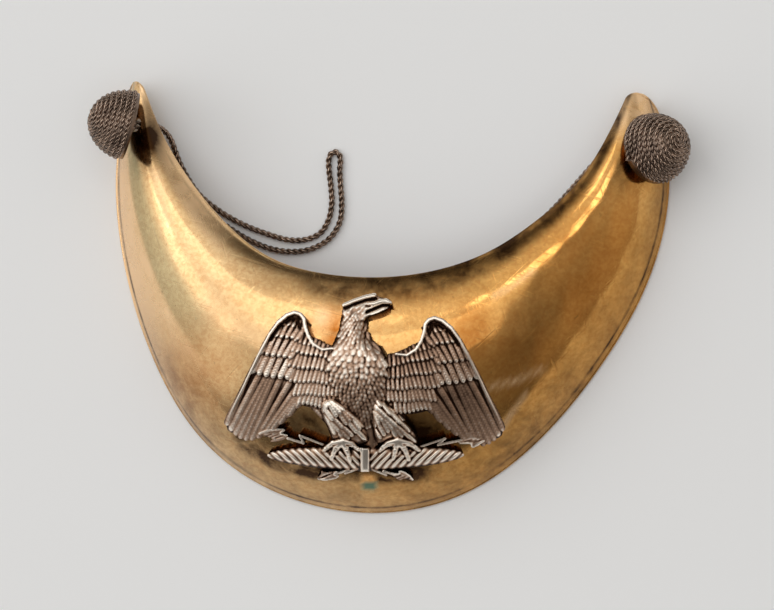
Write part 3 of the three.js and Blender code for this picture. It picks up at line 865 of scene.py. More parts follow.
# the sheet's wall as one closed loft: up the outside, down the inside, narrowing to a rounded horn
def sheetWall():
    count = plateSizes["sections"]
    turn = 2 * np.pi * np.arange(count + 1) / count
    u = lastStation * (turn - 0.93 * np.sin(turn)) / (2 * np.pi)
    fromTip = np.clip(np.minimum(u, lastStation - u) / plateSizes["tipRounding"], 0, 1)
    narrowing = np.maximum(0.06, np.sqrt(1 - (1 - fromTip) ** 2))
    steps = plateSizes["acrossSteps"]
    share = (1 - np.cos(np.pi * np.arange(steps + 1) / steps)) / 2
    uu = np.repeat(u[:, None], steps + 1, axis=1)
    ss = 0.5 + (share[None, :] - 0.5) * narrowing[:, None]
    middle = sheetPoint(uu, ss)
    normal = sheetNormal(uu, ss)
    dents = (np.sin(uu * 5.1 + ss * 7.0) * np.sin(ss * 9.3 - uu * 2.7)
             + 0.6 * np.sin(uu * 11.3 - ss * 13.0 + 1.7))
    fading = np.sin(np.pi * share)[None, :]
    middle = middle + normal * (plateSizes["dentDepth"] * dents * fading)[..., None]
    half = plateSizes["sheetThickness"] / 2 * np.maximum(0.5, narrowing)[:, None, None]
    outside = middle + normal * half
    inside = (middle - normal * half)[:, ::-1]
    rings = np.concatenate([outside, inside], axis=1)
    around = rings.shape[1]
    faces = []
    for i in range(count):
        for k in range(around):
            j = (k + 1) % around
            faces.append((i * around + k, (i + 1) * around + k, (i + 1) * around + j, i * around + j))
    faces.append(tuple(range(around)))
    faces.append(tuple(count * around + k for k in reversed(range(around))))
    wall = meshObject("sheet_wall", rings.reshape(-1, 3) * mm, faces)
    edgeOuter = middle[:, 0]
    edgeNeck = middle[:, -1]
    rim = np.concatenate([edgeOuter, edgeNeck[::-1]])
    radii = np.concatenate([np.full(count + 1, plateSizes["outerBeadRadius"]),
                            np.full(count + 1, plateSizes["neckBeadRadius"])])
    slim = np.concatenate([narrowing, narrowing[::-1]])
    radii = radii * np.maximum(0.72, slim ** 0.25) - plateSizes["beadTrim"]
    return wall, rim, radii


# the rolled rim: a round bead that follows the crescent's edge all the way round
def rolledRimTree():
    tree, bench, given = geometryTree("rolledRim", [
        ("Edge", "Geometry"), ("Sides", "Int"), ("Material", "Material")], "Rim")
    path = bench.add("GeometryNodeMeshToCurve", {"Mesh": given["Edge"]})
    ring = bench.add("GeometryNodeCurvePrimitiveCircle",
                     {"Resolution": given["Sides"], "Radius": 1.0}, mode="RADIUS")
    thick = bench.add("GeometryNodeInputNamedAttribute", {"Name": "beadRadius"}, data_type="FLOAT")
    bead = bench.add("GeometryNodeCurveToMesh", {"Curve": path, "Profile Curve": ring.outputs["Curve"],
                                                 "Scale": firstOutput(thick)})
    endTree(bench, bead, given["Material"], "Rim")
    return tree


def makeRim(points, radii):
    keep = [0]
    for i in range(1, len(points)):
        if np.linalg.norm(points[i] - points[keep[-1]]) > plateSizes["rimStep"]:
            keep.append(i)
    points = points[keep]
    radii = radii[keep]
    mesh = bpy.data.meshes.new("rim_edge")
    edges = [(i, (i + 1) % len(points)) for i in range(len(points))]
    mesh.from_pydata([tuple(p * mm) for p in points], edges, [])
    storeValues(mesh, "beadRadius", "FLOAT", "value", radii * mm)
    host = addObject("rim_edge", mesh)
    useTree(host, rolledRimTree(), {"Sides": plateSizes["rimSides"], "Material": giltBrass})
    return asMesh(host, "rolled_rim")


def cutWith(obj, tool, operation):
    modifier = obj.modifiers.new(operation, "BOOLEAN")
    modifier.object = tool
    modifier.operation = operation
    modifier.solver = "MANIFOLD"
    whole = asMesh(obj, obj.name)
    bpy.data.objects.remove(tool)
    return whole


def drill(point, direction, radius, reach):
    mesh = bmesh.new()
    bmesh.ops.create_cone(mesh, cap_ends=True, segments=32, radius1=radius * mm, radius2=radius * mm,
                          depth=2 * reach * mm)
    turn = Vector(direction).to_track_quat("Z", "Y").to_matrix().to_4x4()
    bmesh.ops.transform(mesh, matrix=Matrix.Translation(Vector(point) * mm) @ turn, verts=mesh.verts)
    return addObject("drill", meshFrom("drill", mesh))


badgeSizes = {
    "origin": (-2.7, -24.0),
    "gap": 0.42,
    "studs": ((-13.5, 6.0), (15.0, 5.0)),
    "studRadius": 1.0,
    "studHoleGap": 0.3,
    "studReach": 2.8,  # each way from the stud's middle, which is 1.4 below the sheet's
    "studDrop": 1.4,
    "axis": (0.1, -0.05, 1.0),  # which way the relief rises
    "grid": 0.16,
    "backGrid": 1.6,
    "sharpAngle": 70,
}


def studSeats():
    for x, y in badgeSizes["studs"]:
        u, s = findOnSheet(badgeSizes["origin"][0] + x, badgeSizes["origin"][1] + y)
        yield sheetPoint(u, s), sheetNormal(u, s)


# patches on the brass, painted where the picture shows them: red channel orange, green painted shade and dark
# reflections with some grime, blue verdigris and a painted green-grey reflection, alpha a pale peach painted
# reflection; middle and reach in mm
platePatches = namedRows(
    "channel middle reach strength",
    (0, (-9.6, -10.0), (4.2, 6.5), 1.3),
    (0, (-14.5, -7.5), (4.0, 3.0), 0.7),
    (3, (-13.8, -5.0), (2.0, 2.4), 0.9),
    (0, (25.5, -8.0), (5.0, 7.5), 0.9),
    (0, (36.0, -14.0), (12.0, 13.0), 0.4),
    (0, (6.0, 1.0), (14.0, 2.0), 0.4),
    (0, (-50.0, -18.0), (12.0, 15.0), 0.6),
    (0, (52.0, 10.0), (12.0, 22.0), 0.4),
    # a painted dark reflection along the middle of the neck edge, painted shade on the plate in the openings
    # under the wings, and darker patches towards the right
    (1, (0.0, 3.2), (34.0, 2.6), 0.5),
    (1, (-20.0, -32.5), (10.0, 5.0), 1.1),
    (1, (12.0, -34.0), (9.0, 6.0), 1.0),
    (1, (34.0, -38.0), (18.0, 9.0), 0.6),
    (1, (40.0, -4.0), (7.0, 18.0), 0.3),
    (1, (58.0, -10.0), (7.0, 18.0), 0.4),
    # painted shadows of the two buttons on the horns
    (1, (-63.2, 41.0), (4.6, 9.0), 1.1),
    (1, (64.5, 34.5), (5.0, 5.0), 0.8),
)
# a small upright stain below the badge, orange above and green below
smallStain = {"middle": (-2.8, -47.4), "width": 3.7, "length": 5.8, "greenFrom": -47.8, "orange": 0.3,
              "green": 0.9}
# painted shade and dark reflection on the brass below the badge: a band along this line, in mm
shadedBand = {"line": [(-37.5, -34.0), (-35.5, -38.5), (-28.5, -42.6), (-16.0, -45.4), (-1.0, -45.8),
                       (12.0, -45.0)],
              "reach": 3.2, "strength": 1.0}
# painted pale streaks of reflected light on the gilding: lines in mm, with their half width
reflectedStreaks = [
    {"line": [(29.5, -22.2), (36.0, -20.6), (42.6, -17.4)], "reach": 0.8, "strength": 0.8},
    {"line": [(32.0, -33.4), (35.0, -28.6), (38.4, -24.0)], "reach": 0.7, "strength": 0.7},
    {"line": [(40.6, 8.0), (36.0, 4.4), (31.0, 1.4)], "reach": 0.8, "strength": 0.5},
    {"line": [(-60.0, 32.0), (-58.0, 26.0), (-56.6, 19.0)], "reach": 1.6, "strength": 0.5},
    {"line": [(-44.0, -2.0), (-36.0, -9.0), (-28.0, -12.0)], "reach": 4.0, "strength": 0.3},
]


# how strongly a painted band along a line covers the points (x, y)
def bandShare(x, y, band, sharpness):
    nearest = np.full(x.shape, 1e9)
    for (ax, ay), (bx, by) in zip(band["line"], band["line"][1:]):
        k = np.clip(((x - ax) * (bx - ax) + (y - ay) * (by - ay)) / ((bx - ax) ** 2 + (by - ay) ** 2), 0, 1)
        nearest = np.minimum(nearest, np.hypot(x - ax - k * (bx - ax), y - ay - k * (by - ay)))
    return band["strength"] * np.exp(-(nearest / band["reach"]) ** sharpness)


# shares from the outer edge to the neck edge between which each painted zone fades
paintZones = {
    # the pale floor reflection painted near both edges of the left limb, then the painted green-grey
    # reflection between them
    "paintedReflection": (0.38, 0.32, 0.83, 0.90),
    "greenReflection": (0.33, 0.38, 0.64, 0.50),
    "greenReflectionStrength": 0.34,
    # the margins: painted dark reflections along the outer edge and the neck edge
    "margin": (0.34, 0.1),
    "marginStrength": (0.42, 0.2),
    "rightMargin": (0.4, 0.1),
    "rightMarginStrength": 0.4,
    "neckMargin": (0.84, 0.95),
    "neckMarginStrength": 0.85,
    # distance from each edge and width of the darkened strip in the grooves, in mm
    "outerGroove": (1.0, 0.42),
    "neckGroove": (0.8, 0.35),
}


def paintPatches(mesh):
    count = len(mesh.vertices)
    co = np.empty(count * 3)
    mesh.vertices.foreach_get("co", co)
    x, y = (co.reshape(-1, 3) / mm)[:, :2].T
    paint = np.zeros((count, 4))
    u, s = findOnSheet(x, y)
    zones = paintZones

    def cover(channel, values):
        paint[:, channel] = np.maximum(paint[:, channel], values)

    # painted floor reflection on the lower left limb near both its edges, and on the right horn
    leftward = smoothStep(-34, -50, x) * smoothStep(-26, -2, y)
    horn = smoothStep(40, 50, y) * (x > 0)
    reflectionFrom, reflectionTo, againFrom, againTo = zones["paintedReflection"]
    cover(3, np.maximum(leftward * np.maximum(smoothStep(reflectionFrom, reflectionTo, s),
                                              smoothStep(againFrom, againTo, s)), horn))
    # the painted green-grey reflection of the room beside the painted floor reflection
    bandFrom, bandTo, fadeFrom, fadeTo = zones["greenReflection"]
    paint[:, 2] = (zones["greenReflectionStrength"] * leftward * smoothStep(bandFrom, bandTo, s)
                   * smoothStep(fadeFrom, fadeTo, s))
    # painted dark reflections along the outer edge, stronger towards +X, and darkening in the grooves beside
    # the beads
    least, more = zones["marginStrength"]
    margin = smoothStep(*zones["margin"], s) * smoothStep(10, -30, y)
    margin = margin * (least + more * smoothStep(-10, 40, x))
    rightMargin = smoothStep(*zones["rightMargin"], s) * smoothStep(10, 50, x) * zones["rightMarginStrength"]
    width = np.hypot(column["nx"](u) - column["ox"](u), column["ny"](u) - column["oy"](u))
    outerAt, outerWide = zones["outerGroove"]
    neckAt, neckWide = zones["neckGroove"]
    groove = (np.exp(-((s * width - outerAt) / outerWide) ** 2)
              + 0.4 * np.exp(-(((1 - s) * width - neckAt) / neckWide) ** 2))
    cover(1, np.maximum(np.maximum(margin, rightMargin), groove))
    # a painted dark reflection along the neck edge
    cover(1, zones["neckMarginStrength"] * smoothStep(*zones["neckMargin"], s) * smoothStep(-28, -10, x))
    cover(1, bandShare(x, y, shadedBand, 4))
    for streak in reflectedStreaks:
        cover(3, bandShare(x, y, streak, 2))
    for patch in platePatches:
        cx, cy = patch["middle"]
        rx, ry = patch["reach"]
        cover(patch["channel"], patch["strength"] * np.exp(-((x - cx) / rx) ** 2 - ((y - cy) / ry) ** 2))
    cx, cy = smallStain["middle"]
    flare = smallStain["width"] * (0.5 - 0.05 * (y - cy))
    within = (smoothStep(0.25, -0.25, np.abs(x - cx) - flare)
              * smoothStep(0.3, -0.3, np.abs(y - cy) - smallStain["length"] / 2))
    green = smoothStep(0.3, -0.5, y - smallStain["greenFrom"])
    paint[:, 1] *= 1 - within
    for channel, stain in ((0, within * (1 - green) * smallStain["orange"]),
                           (2, within * green * smallStain["green"])):
        paint[:, channel] = np.maximum(paint[:, channel] * (1 - within), stain)
    storeValues(mesh, "patches", "FLOAT_COLOR", "color", paint.ravel())


def makePlate():
    wall, rim, radii = sheetWall()
    plate = cutWith(wall, makeRim(rim, radii), "UNION")
    for horn in horns.values():
        point, inwards = hornHole(horn)
        plate = cutWith(plate, drill(point, inwards, buttonSizes["neckRadius"] + buttonSizes["holeGap"], 4),
                        "DIFFERENCE")
    for point, outwards in studSeats():
        hole = drill(point, outwards, badgeSizes["studRadius"] + badgeSizes["studHoleGap"], 3)
        plate = cutWith(plate, hole, "DIFFERENCE")
    mesh = plate.data
    shadeSmooth(mesh)
    mesh.set_sharp_from_angle(angle=math.radians(plateSizes["sharpAngle"]))
    paintPatches(mesh)
    plate.name = "brass_plate"
    finishPiece(plate, giltBrass, "gorget_plate")
    print("plate faces", len(mesh.polygons))


makePlate()
print("plate made")


# Buttons: a domed core wound with cord from its rim to its crown, on a neck of doubled cord

def domeWinding(seat):
    cordReach = buttonSizes["plyRadius"] * (1 + cordSizes["plyOffset"])
    a = buttonSizes["radius"] - cordReach
    b = buttonSizes["height"] - cordReach
    angles = np.linspace(math.radians(buttonSizes["windFrom"]), math.radians(buttonSizes["windTo"]), 400)
    meridian = np.stack([a * np.cos(angles), b * np.sin(angles)], 1)
    run = np.concatenate([[0], np.cumsum(np.linalg.norm(np.diff(meridian, axis=0), axis=1))])
    share = np.linspace(0, 1, buttonSizes["windingTurns"] * 60)
    r = np.interp(share * run[-1], run, meridian[:, 0])
    z = np.interp(share * run[-1], run, meridian[:, 1])
    turn = seat["start"] - 2 * np.pi * buttonSizes["windingTurns"] * share
    path = np.stack([r * np.cos(turn), r * np.sin(turn), z], 1)
    outwards = path[0] * (1.07, 1.07, 1) + (0, 0, -0.1)  # the cord's end stands out a little
    return np.concatenate([[outwards], path[2:]])


def domeCore(name):
    inner = buttonSizes["plyRadius"] * 1.5
    a = buttonSizes["radius"] - inner
    b = buttonSizes["height"] - inner
    mesh = bmesh.new()
    bmesh.ops.create_uvsphere(mesh, u_segments=40, v_segments=24, radius=1)
    for vertex in mesh.verts:
        x, y, z = vertex.co
        vertex.co = (x * a * mm, y * a * mm, (z * b if z > 0 else max(z * 3, -0.02)) * mm)
    data = meshFrom(name, mesh)
    shadeSmooth(data)
    data.materials.append(bronzeThread)
    return addObject(name, data)


def makeButton(side, seat):
    tilt = math.radians(seat["tilt"])
    heading = math.radians(seat["heading"])
    axis = Vector((math.sin(tilt) * math.cos(heading), math.sin(tilt) * math.sin(heading), math.cos(tilt)))
    turn = Vector((0, 0, 1)).rotation_difference(axis).to_matrix()
    centre = np.array(seat["centre"])
    path = domeWinding(seat) @ np.array(turn).T + centre
    winding = makeCord(side + "_winding", path, buttonSizes["plyRadius"], buttonSizes["plyPitch"],
                       bronzeThread, step=0.34, sides=6)
    core = domeCore(side + "_core")
    core.data.transform(Matrix.Translation(Vector(centre) * mm) @ turn.to_4x4())
    point, inwards = hornHole(seat)
    half = plateSizes["sheetThickness"] / 2
    across = unit(np.cross((0, 0, 1), inwards))
    pieces = [winding, core]
    for sideways in (-buttonSizes["neckSpread"], buttonSizes["neckSpread"]):
        neck = smoothPath(np.array([
            centre + np.array(axis) * 2, centre - np.array(axis) * 0.6, point - inwards * (half + 0.9),
            point + inwards * (half + buttonSizes["knotDrop"] + 0.4)]) + across * sideways, 6)
        pieces.append(makeCord(side + "_neck", neck, material=bronzeThread, sides=6,
                               **buttonSizes["neckPly"]))
    top = half + buttonSizes["knotDrop"] + 0.85
    turns = buttonSizes["knotTurns"]
    coil = np.linspace(0, turns, 90)
    spin = np.array(Vector((0, 0, 1)).rotation_difference(Vector(inwards)).to_matrix())
    radius = buttonSizes["knotRadius"] - 0.85
    knot = np.stack([radius * np.cos(2 * np.pi * coil), radius * np.sin(2 * np.pi * coil),
                     top + coil * (buttonSizes["knotLength"] - 1.7) / turns], 1) @ spin.T + point
    pieces.append(makeCord(side + "_knot", knot, material=bronzeThread, sides=6, **buttonSizes["knotPly"]))
    button = joinObjects(side + "_wound_button", pieces)
    finishPiece(button, None, side + "_button")


for side, seat in horns.items():
    makeButton(side, seat)
print("buttons wound")


# Eagle badge: one casting, sculpted as heights over a fine grid and then laid on the plate.
# Its own plane has x to the right, y up and z off the plate, all in millimetres.

eagleArea = {"left": -38.4, "right": 39.2, "bottom": -24.4, "top": 26.6}
gridX = np.arange(eagleArea["left"], eagleArea["right"], badgeSizes["grid"])
gridY = np.arange(eagleArea["bottom"], eagleArea["top"], badgeSizes["grid"])
eagleX, eagleY = np.meshgrid(gridX, gridY, indexing="ij")
relief = np.full(eagleX.shape, -1.0)
wearAndLightMap = np.zeros(eagleX.shape)  # brighter or darker per feature: wear, with painted highlights and shade


# the part of the grid round a box, as slices
def near(xs, ys, reach):
    step = badgeSizes["grid"]
    x0 = max(0, int((min(xs) - reach - eagleArea["left"]) / step))
    x1 = int((max(xs) + reach - eagleArea["left"]) / step) + 2
    y0 = max(0, int((min(ys) - reach - eagleArea["bottom"]) / step))
    y1 = int((max(ys) + reach - eagleArea["bottom"]) / step) + 2
    return slice(x0, x1), slice(y0, y1)


def raiseTo(part, height, inside, shine=None):
    higher = inside & (height > relief[part])
    relief[part] = np.where(higher, height, relief[part])
    if shine is not None:
        wearAndLightMap[part] = np.where(higher, shine, wearAndLightMap[part])


# a feather: a cambered blade with a shaft and barbs; angle 0 points down, positive swings to +x
def feather(ground, tip, angle, length, width, lift=0.45, camber=0.3, barbs=0.05, taper=0.85, shine=0.0):
    a = math.radians(angle)
    back = (-math.sin(a), math.cos(a))
    part = near((tip[0], tip[0] + back[0] * length), (tip[1], tip[1] + back[1] * length), width)
    dx = eagleX[part] - tip[0]
    dy = eagleY[part] - tip[1]
    t = dx * back[0] + dy * back[1]
    w = dx * back[1] - dy * back[0]
    rounding = 0.8 * width
    end = np.sqrt(np.clip(1 - (1 - np.clip(t, 0, rounding) / rounding) ** 2, 0, 1))
    half = width / 2 * end * (taper + (1 - taper) * np.clip(1 - t / length, 0, 1))
    inside = (t > 0) & (t < length) & (np.abs(w) < half)
    across = np.clip(np.abs(w) / np.maximum(half, 1e-3), 0, 1)
    height = ground[part] + lift * (0.2 + 0.8 * np.clip(1 - t / length, 0, 1))
    height = height + camber * np.sqrt(1 - across ** 2.4)
    height = height + 0.06 * np.exp(-(w / 0.16) ** 2) * (t > 0.2)
    if barbs:
        height = height + barbs * np.cos(2 * np.pi * (t + 1.1 * np.abs(w)) / 0.8) * (1 - across ** 4)
    outlined = shine - 0.30 * smoothStep(0.55, 1.0, across) - 0.16 * np.clip(t / length, 0, 1)
    raiseTo(part, height, inside, outlined)


# how far each grid point is from a polyline, and how far along the line its foot lies
def distanceTo(line, part):
    best = np.full(eagleX[part].shape, 1e9)
    foot = np.zeros(best.shape)
    total = sum(math.dist(a, b) for a, b in zip(line, line[1:]))
    run = 0.0
    for (ax, ay), (bx, by) in zip(line, line[1:]):
        length = math.dist((ax, ay), (bx, by))
        k = np.clip(((eagleX[part] - ax) * (bx - ax) + (eagleY[part] - ay) * (by - ay)) / length ** 2, 0, 1)
        d = np.hypot(eagleX[part] - ax - k * (bx - ax), eagleY[part] - ay - k * (by - ay))
        closer = d < best
        best = np.where(closer, d, best)
        foot = np.where(closer, (run + k * length) / total, foot)
        run += length
    return best, foot


# a rounded ridge along a line, its width and height given at its two ends
def ridge(line, width, top, crown=0.5, shine=0.3):
    xs, ys = zip(*line)
    part = near(xs, ys, max(width))
    d, foot = distanceTo(line, part)
    half = (width[0] + (width[1] - width[0]) * foot) / 2
    level = top[0] + (top[1] - top[0]) * foot
    raiseTo(part, level - crown + crown * np.sqrt(np.clip(1 - (d / half) ** 2, 0, 1)), d < half, shine)


def groove(line, width, depth):
    xs, ys = zip(*line)
    part = near(xs, ys, 2 * width)
    d, _ = distanceTo(line, part)
    cut = depth * np.exp(-(d / (0.5 * width)) ** 2)
    relief[part] = np.where(relief[part] > 0, np.maximum(relief[part] - cut, 0.3), relief[part])


def insideOutline(points):
    inside = np.zeros(eagleX.shape, bool)
    for (ax, ay), (bx, by) in zip(points, [*points[1:], points[0]]):
        if ay != by:
            crosses = (eagleY < ay) != (eagleY < by)
            inside ^= crosses & (eagleX < (bx - ax) * (eagleY - ay) / (by - ay) + ax)
    return inside


def smoothOutline(points, rounds=2):
    points = np.asarray(points, float)
    for turn in range(rounds):
        ahead = np.roll(points, -1, axis=0)
        points = np.stack([0.75 * points + 0.25 * ahead, 0.25 * points + 0.75 * ahead], 1).reshape(-1, 2)
    return points


# a flat-topped piece with a rounded edge; returns its heights, also outside it, for what lies on it
def slab(points, top, bevel=0.5, shine=0.0, inset=0.0):
    inside = insideOutline(points)
    line = [tuple(p) for p in points] + [tuple(points[0])]
    xs, ys = zip(*line)
    part = near(xs, ys, 0.5)
    d, _ = distanceTo(line, part)
    height = top - bevel + bevel * np.sqrt(1 - (1 - np.clip((d - inset) / bevel, 0, 1)) ** 2)
    raiseTo(part, height, inside[part] & (d > inset), shine)
    whole = np.full(relief.shape, top - bevel)
    whole[part] = np.where(inside[part], height, top - bevel)
    return whole, inside


# rows of feathers on the right-hand wing; the left-hand wing is their mirror image
wingRows = namedRows(
    "from to via count length width slant lift camber barbs shine",
    # the line of the tips, its bend, the number, the length and slant at its two ends
    ((17.0, -3.6), (34.9, -8.3), (27.8, -11.8), 12, (17, 19), 2.15, (37, 22), 0.42, 0.3, 0.05, 0.02),
    ((7.6, -4.2), (16.4, -2.9), None, 9, (4.8, 5.0), 1.3, (2, 18), 0.7, 0.26, 0.03, 0.12),
    ((5.6, -1.0), (17.6, -0.6), None, 12, (4.4, 4.4), 1.26, (2, 20), 0.7, 0.26, 0.03, 0.08),
    ((5.6, 2.0), (18.6, 2.8), None, 12, (4.4, 4.2), 1.3, (2, 22), 0.72, 0.26, 0.03, 0.04),
    ((5.6, 5.0), (19.0, 6.6), None, 12, (4.2, 4.2), 1.32, (2, 24), 0.74, 0.26, 0.03, 0.0),
    ((19.6, 3.4), (28.6, 4.9), None, 6, (6.4, 6.8), 2.1, (29, 24), 0.8, 0.2, 0.08, 0.14),
    ((18.8, 8.6), (26.2, 10.0), None, 6, (5.6, 5.6), 1.75, (29, 25), 0.8, 0.2, 0.07, 0.02),
    ((5.8, 8.0), (18.2, 10.4), None, 11, (3.4, 3.8), 1.35, (4, 26), 0.74, 0.24, 0.02, -0.04),
    ((17.0, 13.4), (23.8, 14.6), None, 6, (4.2, 4.0), 1.6, (32, 27), 0.76, 0.2, 0.05, -0.04),
    ((10.4, 10.6), (17.4, 13.2), None, 7, (2.2, 2.8), 1.25, (14, 28), 0.62, 0.22, 0.0, -0.08),
    ((15.6, 16.4), (21.8, 17.4), None, 6, (2.4, 2.2), 1.35, (34, 30), 0.5, 0.2, 0.0, -0.14),
)
wingEdge = [
    (6.0, -4.0), (10.8, -4.6), (14.0, -4.2), (16.2, -3.4), (18.6, -5.2), (25.0, -9.2), (31.2, -10.9),
    (34.8, -10.4), (35.6, -7.6), (33.4, -3.1), (30.9, 1.9), (29.2, 5.6), (27.7, 8.6), (26.2, 11.6),
    (24.0, 15.6), (22.0, 18.2), (19.5, 20.2), (17.5, 21.0), (15.8, 20.5), (14.7, 19.2), (14.4, 17.2),
    (13.8, 15.0), (12.5, 12.8), (10.2, 11.4), (6.0, 11.6), (3.0, 4.0),
]
# what lies before the leading edge, to be cut away
wingAhead = [
    (36.2, -9.8), (35.9, -7.8), (33.7, -3.2), (31.1, 1.9), (29.4, 5.6), (27.9, 8.6), (26.4, 11.6),
    (24.2, 15.6), (22.2, 18.3), (19.6, 20.4), (17.5, 21.2), (17.5, 30.0), (45.0, 30.0), (45.0, -9.8),
]
wingBorder = [
    (35.2, -7.8), (33.0, -3.4), (30.5, 1.7), (28.8, 5.4), (27.3, 8.5), (25.8, 11.5), (23.7, 15.3),
    (21.8, 17.9), (19.5, 19.8), (17.5, 20.5), (16.0, 20.0), (15.1, 18.9), (14.8, 17.1), (14.1, 14.8),
    (12.7, 12.5), (10.3, 11.0), (7.6, 11.3),
]
wingHollow = [(23.6, 14.0), (22.2, 16.2), (20.4, 18.0), (18.4, 18.8), (16.9, 18.6), (16.2, 17.0)]


def wing(mirror, shift, sideShade):
    def put(point):
        return mirror * point[0] + shift[0], point[1] + shift[1]

    x = mirror * (eagleX - shift[0])
    y = eagleY - shift[1]
    ground = 0.95 + 0.75 * smoothStep(30, 12, x) + 0.2 * smoothStep(2, 14, y)
    outline = smoothOutline([put(p) for p in wingEdge], 1)
    everywhere = (slice(None), slice(None))
    d, _ = distanceTo([tuple(p) for p in outline] + [tuple(outline[0])], everywhere)
    inside = insideOutline(outline) & (d > 0.5)
    relief[inside] = np.maximum(relief[inside], ground[inside] - 0.12)
    for row in wingRows:
        start = np.array(put(row["from"]))
        end = np.array(put(row["to"]))
        middle = np.array(put(row["via"])) if row["via"] else (start + end) / 2
        for i in range(row["count"]):
            k = i / (row["count"] - 1)
            tip = (1 - k) ** 2 * start + 2 * k * (1 - k) * (2 * middle - (start + end) / 2) + k * k * end
            length = row["length"][0] + (row["length"][1] - row["length"][0]) * k
            slant = row["slant"][0] + (row["slant"][1] - row["slant"][0]) * k
            wobble = 0.16 * math.sin(7.3 * i + row["width"] * 40)
            wearAndLight = row["shine"] - sideShade + 0.07 * math.sin(3.1 * i + row["from"][0] * 5)
            feather(ground, (tip[0], tip[1] + wobble), mirror * (slant + 26 * wobble), length,
                    row["width"] * (0.97 + 0.07 * math.sin(5.7 * i)), lift=row["lift"], camber=row["camber"],
                    barbs=row["barbs"], shine=wearAndLight)
    relief[insideOutline([put(p) for p in wingAhead])] = -1
    groove([put(p) for p in wingHollow], 1.3, 1.0)
    # the wing's raised border is painted brighter: a painted highlight along its ridge
    ridge([put(p) for p in wingBorder[:8]], (0.5, 1.0), (1.6, 2.7), 0.4, 0.08 - 0.5 * sideShade)
    ridge([put(p) for p in wingBorder[7:]], (1.2, 0.75), (2.7, 2.8), 0.5, 0.2 - 0.5 * sideShade)


# the bird's trunk from neck to tail: its middle line, half width and height by y
trunk = np.array([
    # y, middle, half width, height
    (-14.4, 2.0, 1.6, 1.7), (-9.0, 1.4, 2.5, 2.1), (-5.0, 0.6, 4.8, 2.6), (-1.5, -0.4, 6.8, 3.0),
    (2.0, -0.9, 7.8, 3.3), (5.5, -1.2, 8.4, 3.5), (8.2, -1.2, 8.3, 3.55), (10.0, -2.0, 7.1, 3.45),
    (12.0, -2.6, 5.2, 3.3), (14.0, -2.9, 4.0, 3.1), (16.0, -2.8, 3.2, 2.9), (19.0, -2.4, 3.1, 2.7),
    (21.5, -1.6, 3.2, 2.5),
])
# how high the trunk stands where it meets the wings, by y
trunkSill = np.array([(-14.0, 0.9), (-6.0, 1.0), (-3.0, 1.9), (8.0, 2.1), (11.0, 1.6), (13.5, 1.0),
                      (22.0, 0.9)])
# the feathers' size, lean and fan, each by y
trunkCover = {
    "size": ([-9, 0, 4, 8, 11, 13, 16, 20], [1.25, 1.35, 1.6, 2.1, 2.0, 1.5, 1.15, 1.0]),
    "lean": ([0, 9, 13, 20], [0, -4, -20, -36]),
    "fan": ([-4, 4, 9, 13, 16], [22, 30, 44, 34, 10]),
}


def trunkHeights():
    def by(column):
        return np.interp(eagleY, trunk[:, 0], trunk[:, column])

    across = (eagleX - by(1)) / by(2)
    sill = np.interp(eagleY, trunkSill[:, 0], trunkSill[:, 1])
    height = sill + (by(3) - sill) * np.clip(1 - across ** 2, 0, 1) ** 0.75
    within = (eagleY > trunk[0, 0]) & (eagleY < trunk[-1, 0]) & (np.abs(across) < 1)
    return np.where(within, height, sill), within


def trunkFeathers(ground):
    y = -9.0
    row = 0
    while y < 20.6:
        middle, half = (np.interp(y, trunk[:, 0], trunk[:, i]) for i in (1, 2))
        size, lean, fan = (float(np.interp(y, *trunkCover[name])) for name in ("size", "lean", "fan"))
        count = max(3, round(2 * half / (0.84 * size)))
        for i in range(count):
            side = (i + 0.5 * (row % 2) + 0.25) / count * 2 - 1
            if abs(side) > 0.96:
                continue
            x = middle + side * half * 0.97
            drop = 0.7 * (1 - side * side) * (1 if y > 3 else 0.2)
            chest = math.exp(-((y - drop - 9.0) / 2.3) ** 2)
            wearAndLight = 0.06 * chest + 0.02 * (y > 12) - 0.12 * (y < 4) + 0.12 * math.sin(4.7 * i + 2.3 * row)
            tip = (x, y - drop + 0.3 * math.sin(5.1 * i + row))
            angle = lean + fan * side + 9 * math.sin(i * 2.9)
            feather(ground, tip, angle, 1.9 * size, size * (1.04 + 0.12 * math.sin(7.7 * i + row)),
                    lift=0.5, camber=0.2, barbs=0.02, taper=0.7, shine=wearAndLight)
        y += 0.76 * size
        row += 1


# feathers all over one piece, from its lower end up, so that the upper ones overlap
def clothe(ground, inside, angle, spacing, length, width, shineAt):
    a = math.radians(angle)
    back = np.array((-math.sin(a), math.cos(a)))
    across = np.array((back[1], -back[0]))
    cells = np.argwhere(inside)
    xs = eagleArea["left"] + cells[:, 0] * badgeSizes["grid"]
    ys = eagleArea["bottom"] + cells[:, 1] * badgeSizes["grid"]
    middle = np.array((xs.mean(), ys.mean()))
    tall = (xs - middle[0]) * back[0] + (ys - middle[1]) * back[1]
    wide = (xs - middle[0]) * across[0] + (ys - middle[1]) * across[1]
    row = 0
    for t in np.arange(tall.min() + 0.2, tall.max(), spacing[1]):
        for w in np.arange(wide.min(), wide.max() + spacing[0], spacing[0]) + 0.5 * spacing[0] * (row % 2):
            tip = middle + back * t + across * w
            i = int((tip[0] - eagleArea["left"]) / badgeSizes["grid"])
            j = int((tip[1] - eagleArea["bottom"]) / badgeSizes["grid"])
            if inside[i, j]:
                sway = 9 * math.sin(3.7 * w + 1.9 * row) + 1.5 * w
                feather(ground, tip, angle + sway, length, width, lift=0.6, camber=0.26, barbs=0.05,
                        taper=0.75, shine=shineAt(tip) + 0.12 * math.sin(5.3 * w + row))
        row += 1


